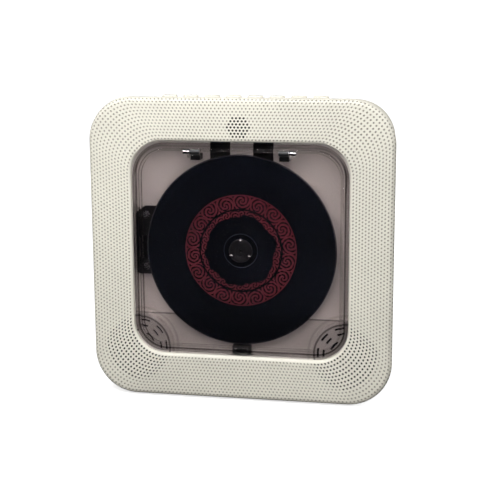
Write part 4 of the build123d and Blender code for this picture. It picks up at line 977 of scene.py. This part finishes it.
def inside_of_front(shape):
    """The front's solid without its outer surface, which the skin takes over."""
    front = shape.front
    face_slack, side_slack, shoulder_slack, wall_slack = 0.05, 0.12, 1.5, 0.6
    level, steep, flat_depth = 0.999, 0.5, 1.0
    signal_radius, signal_depth = front.signal_reach * 2.9, 5.0
    work = merged_node("front_bezel")
    places = np.array([vertex.co[:] for vertex in work.verts]) / MM
    x, y, z = places[:, 0], places[:, 1] - FRONT_Y, places[:, 2] - CENTRE_Z
    lean = front.tail_inset * (y - shape.shoulder_depth) / (front.tail_depth - shape.shoulder_depth)
    on_face = np.abs(y - shape.depth(x, z)) < face_slack
    on_side = np.abs(shape.side_inset(x, z) - np.clip(lean, 0, None)) < side_slack
    on_side &= y > shape.shoulder_depth - shoulder_slack
    on_wall = np.abs(shape.window_reach(x, z)) < face_slack
    on_wall &= y > front.window_roll - wall_slack
    on_skin = on_face | on_side | on_wall
    gone = []
    for face in work.faces:
        depth = face.calc_center_median().y / MM - FRONT_Y
        if all(on_skin[vertex.index] for vertex in face.verts):
            if abs(face.normal.y) < level or depth < flat_depth:
                gone.append(face)
    bmesh.ops.delete(work, geom=gone, context="FACES")
    signal_z = float(shape.ring(float(front.signal_row), 0.0)[2])
    for face in work.faces:
        middle = face.calc_center_median() / MM
        reach = np.hypot(middle.x, middle.z - CENTRE_Z - signal_z)
        if abs(face.normal.y) < steep and reach < signal_radius and middle.y - FRONT_Y < signal_depth:
            # Steep walls round the signal holes take the painted hole shade.
            face.material_index = 1
    return mesh_of(work, "front_inside")


class DISCPLAYER_OT_front(bpy.types.Operator):
    """Make the dimpled front with its signal holes and sound holes"""
    bl_idname = "disc_player.front"
    bl_label = "Dimpled front"

    def execute(self, context):
        front, _, _ = settings()
        shape = FrontShape(front)
        skin = FrontSkin(shape)
        outside = add_piece("front_skin", skin.mesh("front_skin"), MATERIALS["cream"])
        inside = add_piece("front_inside", inside_of_front(shape), MATERIALS["cream"])
        # Its second finish is the painted hole shade.
        inside.data.materials.append(MATERIALS["bore"])
        smooth_within(inside.data, 30)
        pieces = [outside, inside]
        tree = cup_tree()
        overlap = 1.12
        # Dimples and holes take the painted-shade finishes, not a colour of their own.
        for name, kind, radius, depth, finish in (
                ("front_dimples", "dimple", front.dimple_radius, front.dimple_depth, "dimple"),
                ("front_sound_holes", "bore", front.bore_radius, front.bore_depth, "bore"),
                ("front_signal_holes", "signal", front.signal_radius, front.bore_depth, "bore")):
            places = in_metres([middle for found, middle, _ in skin.holes if found == kind])
            facings = [facing for found, _, facing in skin.holes if found == kind]
            pieces.append(repeated_piece(
                name, places, facings, tree, Mouth_Radius=radius * overlap * MM, Pit_Depth=depth * MM,
                Sink=front.cup_sink * MM, Finish=MATERIALS[finish]))
        for piece in pieces:
            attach(piece, "housing")
        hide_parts("front_bezel")
        return {"FINISHED"}


# The other pieces

class DISCPLAYER_OT_case(bpy.types.Operator):
    """Make the rear shell, buttons, sockets and feet with softened edges"""
    bl_idname = "disc_player.case"
    bl_label = "Case and controls"

    def execute(self, context):
        _, finish, _ = settings()
        rounded_piece("rear_shell", finish.case_edge)
        for index in range(1, 9):
            rounded_piece(f"button_{index}", finish.key_edge)
        for node in ("power_knob", "foot_left", "foot_right", "headphone_jack", "aux_jack", "usb_socket",
                     "card_socket", "power_socket"):
            rounded_piece(node, finish.fine_edge)
        return {"FINISHED"}


class DISCPLAYER_OT_deck(bpy.types.Operator):
    """Make the deck behind the lid with its hinges, pads, catch and grilles"""
    bl_idname = "disc_player.deck"
    bl_label = "Deck"

    def execute(self, context):
        _, finish, _ = settings()
        rounded_piece("disc_tray", finish.deck_edge)
        for side in ("left", "right"):
            rounded_piece(f"speaker_grille_{side}", finish.key_edge)
            rounded_piece(f"hinge_block_{side}", finish.block_edge)
            rounded_piece(f"disc_pad_{side}", finish.fine_edge)
        rounded_piece("lid_catch", finish.block_edge)
        return {"FINISHED"}


class DISCPLAYER_OT_drive(bpy.types.Operator):
    """Make the drive: plate, sled, hub and motors"""
    bl_idname = "disc_player.drive"
    bl_label = "Disc drive"

    def execute(self, context):
        _, finish, _ = settings()
        for node, width in (("mechanism_plate", finish.key_edge), ("laser_sled", finish.deck_edge),
                            ("turntable_hub", finish.hub_edge), ("spindle_motor", finish.block_edge),
                            ("feed_motor", finish.deck_edge)):
            rounded_piece(node, width)
        return {"FINISHED"}


class DISCPLAYER_OT_lid(bpy.types.Operator):
    """Make the clear lid with its softened rim"""
    bl_idname = "disc_player.lid"
    bl_label = "Clear lid"

    def execute(self, context):
        _, finish, _ = settings()
        rounded_piece("dust_lid", finish.case_edge)
        return {"FINISHED"}


def screw_mesh(name, head_radius, head_height, radius, length):
    """A pan-head screw with a cross recess, its head towards +Z and its seat at zero."""
    sides = 20
    level_shares = ((1.0, 0.0), (1.0, 0.55), (0.86, 0.9), (0.6, 1.0))
    arm, thick = head_radius * 0.46, head_radius * 0.13
    floor_share, floor_height_share = 0.6, 0.35
    work = bmesh.new()
    levels = [(radius, -length), (radius, 0.0)]
    levels += [(head_radius * wide, head_height * high) for wide, high in level_shares]
    rings = []
    for reach, height in levels:
        rings.append([work.verts.new((
            reach * cos(2 * pi * k / sides), reach * sin(2 * pi * k / sides), height)) for k in range(sides)])
    work.faces.new(list(reversed(rings[0])))
    for low, high in zip(rings, rings[1:]):
        for k in range(sides):
            work.faces.new((low[k], low[(k + 1) % sides], high[(k + 1) % sides], high[k]))
    outline = []
    for k in range(4):
        turn = k * pi / 2
        for u, v in ((thick, -thick), (arm, -thick), (arm, thick)):
            outline.append((u * cos(turn) - v * sin(turn), u * sin(turn) + v * cos(turn)))
    count = len(outline)
    top = [work.verts.new((x, y, head_height)) for x, y in outline]
    floor = [work.verts.new((x * floor_share, y * floor_share, head_height * floor_height_share))
             for x, y in outline]
    for k in range(count):
        work.faces.new((top[(k + 1) % count], top[k], floor[k], floor[(k + 1) % count]))
    work.faces.new(floor)
    edges = [work.edges.get((top[k], top[(k + 1) % count])) for k in range(count)]
    edges += [work.edges.get((rings[-1][k], rings[-1][(k + 1) % sides])) for k in range(sides)]
    bmesh.ops.triangle_fill(work, use_beauty=True, use_dissolve=False, edges=edges, normal=(0, 0, 1))
    mesh = mesh_of(work, name)
    smooth_within(mesh, 35)
    return mesh


def islands(work):
    """The separate solids of a mesh, each as an array of its places, in the order of the mesh."""
    seen, found = set(), []
    for first in work.verts:
        if first in seen:
            continue
        seen.add(first)
        island, todo = [], [first]
        while todo:
            vertex = todo.pop()
            island.append(vertex.co[:])
            near = [edge.other_vert(vertex) for edge in vertex.link_edges]
            fresh = [other for other in near if other not in seen]
            seen.update(fresh)
            todo += fresh
        found.append(np.array(island))
    return found


def screw_seats(node, head_radius):
    """Each screw's seat and the way its head faces, and the longest shank, read from the node's solids."""
    head_share, hair = 0.9, 1e-5
    work = merged_node(node)
    places, facings, length = [], [], 0.0
    for spots in islands(work):
        low, high = spots.min(axis=0), spots.max(axis=0)
        x, z = (low[0] + high[0]) / 2, (low[2] + high[2]) / 2
        head = spots[np.hypot(spots[:, 0] - x, spots[:, 2] - z) > head_share * head_radius * MM]
        at_front = abs(head[:, 1].min() - low[1]) < hair
        seat = head[:, 1].max() if at_front else head[:, 1].min()
        places.append((x, seat, z))
        facings.append((0, -1, 0) if at_front else (0, 1, 0))
        length = max(length, (high[1] - seat) if at_front else (seat - low[1]))
    work.free()
    return places, facings, float(length)


class DISCPLAYER_OT_screws(bpy.types.Operator):
    """Make the cross-headed screws of the case, the tray and the drive plate"""
    bl_idname = "disc_player.screws"
    bl_label = "Screws"

    def execute(self, context):
        tree = screw_tree()
        for node, radius, head_radius, head_height in (
                ("small_screws", 1.1, 2.4, 1.0), ("housing_screws", 1.4, 2.8, 2.0)):
            places, facings, length = screw_seats(node, head_radius)
            source = add_piece(f"{node}_pattern", screw_mesh(
                f"{node}_pattern", head_radius * MM, head_height * MM, radius * MM, length))
            screws = repeated_piece(f"{node}_cross_headed", places, facings, tree,
                                    Piece=source, Size=1.0, Finish=MATERIALS["screw"])
            bpy.data.objects.remove(source)
            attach(screws, "housing")
            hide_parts(node)
        return {"FINISHED"}


class DISCPLAYER_OT_finishes(bpy.types.Operator):
    """Give every node the finish of its slot"""
    bl_idname = "disc_player.finishes"
    bl_label = "Finishes"

    def execute(self, context):
        MATERIALS.update(finish_materials())
        for node, piece in NODES.items():
            material = MATERIALS[slot_of_node(node)]
            if not piece.material_slots:
                piece.data.materials.append(material)
            for slot in piece.material_slots:
                slot.material = material
        return {"FINISHED"}


# The stage

def sight_masks(tree):
    """Masks for what is seen outright or through the lid, what is mirrored, and light let in by the lid."""
    path = add_node(tree, "ShaderNodeLightPath")
    scattered = read(path, "Diffuse Depth").math("MINIMUM", 1.0)
    shone = read(path, "Glossy Depth").math("MINIMUM", 1.0)
    passed = read(path, "Is Transmission Ray")
    untouched = (1.0 - scattered) * (1.0 - shone)
    seen = read(path, "Is Camera Ray").math("MAXIMUM", passed * untouched)
    return seen, shone * (1.0 - scattered), passed * scattered


def make_floor():
    """A wide pale floor that turns up behind the object."""
    half_width, front_edge, bend_start, bend_radius, top = 3600.0, -3000.0, 1400.0, 700.0, 3200.0
    rows = [(front_edge, 0.0), (bend_start, 0.0)]
    for turn in range(15, 91, 15):
        rows.append((bend_start + bend_radius * sin(radians(turn)), bend_radius * (1 - cos(radians(turn)))))
    rows.append((bend_start + bend_radius, top))
    points = [(side * half_width * MM, y * MM, z * MM) for y, z in rows for side in (-1, 1)]
    faces = [(2 * k, 2 * k + 1, 2 * k + 3, 2 * k + 2) for k in range(len(rows) - 1)]
    material, tree, shader = bare_material("pale_floor")
    seen, mirrored, _ = sight_masks(tree)
    shade = mixed(seen, (0.22, 0.22, 0.22), (0.86, 0.86, 0.86))
    shade = mixed(mirrored, shade, (0.012, 0.012, 0.014))
    fill(shader, Base_Color=shade, Roughness=0.9, Specular_IOR_Level=0.0)
    away = add_node(tree, "ShaderNodeVectorMath", {0: object_place(tree)}, operation="LENGTH")
    strength = seen * read(away, "Value").spread(0.12, 0.9, 0.72, 1.1)
    glow = add_node(tree, "ShaderNodeEmission", {"Strength": strength})
    both = add_node(tree, "ShaderNodeAddShader", {0: shader.outputs["BSDF"], 1: glow.outputs["Emission"]})
    fill(tree.nodes["Material Output"], Surface=both.outputs["Shader"])
    add_piece("pale_floor", mesh_from("pale_floor", points, faces), material)


def make_world(stage):
    """Even light from all round, white where the camera sees it and dark where the lid mirrors it."""
    world = bpy.data.worlds.new("pale_room")
    world.use_nodes = True
    tree = world.node_tree
    seen, mirrored, inside = sight_masks(tree)
    _, backward, _ = split(tree, add_node(tree, "ShaderNodeTexCoord").outputs["Generated"])
    dark = mirrored * backward.spread(-0.45, -0.75)
    bright = mirrored - dark
    strength = stage.sky + seen * (1.0 - stage.sky)
    for mask, level in ((dark, stage.room), (bright, stage.tent), (inside, stage.through)):
        strength = strength + mask * (level - stage.sky)
    tint = mixed(dark, (1.0, 1.0, 1.0), (0.55, 0.65, 1.0))
    fill(tree.nodes["Background"], Color=tint, Strength=strength)
    bpy.context.scene.world = world


def make_light(name, place, power, wide, tall):
    """A soft light that looks at the object's middle and leaves no mirror image."""
    light = bpy.data.lights.new(name, "AREA")
    light.energy = power
    light.shape = "RECTANGLE"
    light.size = wide * MM
    light.size_y = tall * MM
    lamp = bpy.data.objects.new(name, light)
    bpy.context.scene.collection.objects.link(lamp)
    lamp.location = Vector(place) * MM
    lamp.visible_glossy = False
    aim = Vector((0, 0, CENTRE_Z * MM)) - lamp.location
    lamp.rotation_euler = aim.to_track_quat("-Z", "Y").to_euler()
    return lamp


def make_gleam(name, place, strength, wide, tall):
    """A strip that only shows as a mirror image along edges; its power grows with its size."""
    power_share = 1e-5
    strip = make_light(name, place, strength * wide * tall * power_share, wide, tall)
    strip.visible_diffuse = False
    strip.visible_glossy = True


def make_camera(stage):
    """The camera at the photograph's angle."""
    turn, lift, roll = stage.azimuth, stage.elevation, stage.roll
    back = Vector((sin(turn) * cos(lift), -cos(turn) * cos(lift), sin(lift)))
    level = Vector((cos(turn), sin(turn), 0.0))
    upright = level.cross(-back)
    right = level * cos(roll) + upright * sin(roll)
    up = upright * cos(roll) - level * sin(roll)
    place = (Vector((stage.target_x, FRONT_Y, CENTRE_Z + stage.target_z)) + back * stage.distance) * MM
    data = bpy.data.cameras.new("front_camera")
    data.lens = stage.focal
    data.sensor_width = 36.0
    data.clip_end = 50.0
    camera = bpy.data.objects.new("front_camera", data)
    bpy.context.scene.collection.objects.link(camera)
    camera.matrix_world = Matrix.Translation(place) @ Matrix((right, up, back)).transposed().to_4x4()
    bpy.context.scene.camera = camera


class DISCPLAYER_OT_stage(bpy.types.Operator):
    """Make the floor, the lights and the camera"""
    bl_idname = "disc_player.stage"
    bl_label = "Stage"

    def execute(self, context):
        _, _, stage = settings()
        context.scene.view_settings.view_transform = "Standard"
        make_floor()
        make_world(stage)
        make_light("key_light", (-110, -500, 540), stage.key, 240, 240)
        make_light("fill_light", (620, -760, 300), stage.fill, 700, 700)
        make_light("back_light", (560, 420, 420), stage.back, 500, 500)
        make_gleam("top_gleam", (-60, -330, 640), stage.gleam, 900, 120)
        make_gleam("right_gleam", (460, -420, 200), stage.gleam, 40, 700)
        make_camera(stage)
        return {"FINISHED"}


class DISCPLAYER_PT_panel(bpy.types.Panel):
    """The player's pieces and sizes"""
    bl_idname = "DISCPLAYER_PT_panel"
    bl_label = "Disc player"
    bl_space_type = "VIEW_3D"
    bl_region_type = "UI"
    bl_category = "Disc player"

    def draw(self, context):
        layout = self.layout
        for operator in OPERATORS:
            layout.operator(operator.bl_idname)
        for group in settings():
            box = layout.box()
            for name in group.bl_rna.properties.keys():
                if name not in ("rna_type", "name"):
                    box.prop(group, name)


OPERATORS = (
    DISCPLAYER_OT_finishes, DISCPLAYER_OT_front, DISCPLAYER_OT_case, DISCPLAYER_OT_deck, DISCPLAYER_OT_drive,
    DISCPLAYER_OT_lid, DISCPLAYER_OT_screws, DISCPLAYER_OT_stage)
GROUPS = (DISCPLAYER_PG_front, DISCPLAYER_PG_finish, DISCPLAYER_PG_stage)


def register():
    """Add the classes and the scene's settings."""
    for item in (*GROUPS, *OPERATORS, DISCPLAYER_PT_panel):
        bpy.utils.register_class(item)
    bpy.types.Scene.disc_player_front = bpy.props.PointerProperty(type=DISCPLAYER_PG_front)
    bpy.types.Scene.disc_player_finish = bpy.props.PointerProperty(type=DISCPLAYER_PG_finish)
    bpy.types.Scene.disc_player_stage = bpy.props.PointerProperty(type=DISCPLAYER_PG_stage)


def unregister():
    """Take the classes and settings away again."""
    del bpy.types.Scene.disc_player_stage
    del bpy.types.Scene.disc_player_finish
    del bpy.types.Scene.disc_player_front
    for item in reversed((*GROUPS, *OPERATORS, DISCPLAYER_PT_panel)):
        bpy.utils.unregister_class(item)


def main():
    """Make the player piece by piece."""
    register()
    bpy.ops.disc_player.finishes()
    bpy.ops.disc_player.front()
    bpy.ops.disc_player.case()
    bpy.ops.disc_player.deck()
    bpy.ops.disc_player.drive()
    bpy.ops.disc_player.lid()
    bpy.ops.disc_player.screws()
    bpy.ops.disc_player.stage()


if __name__ == "__main__":
    main()
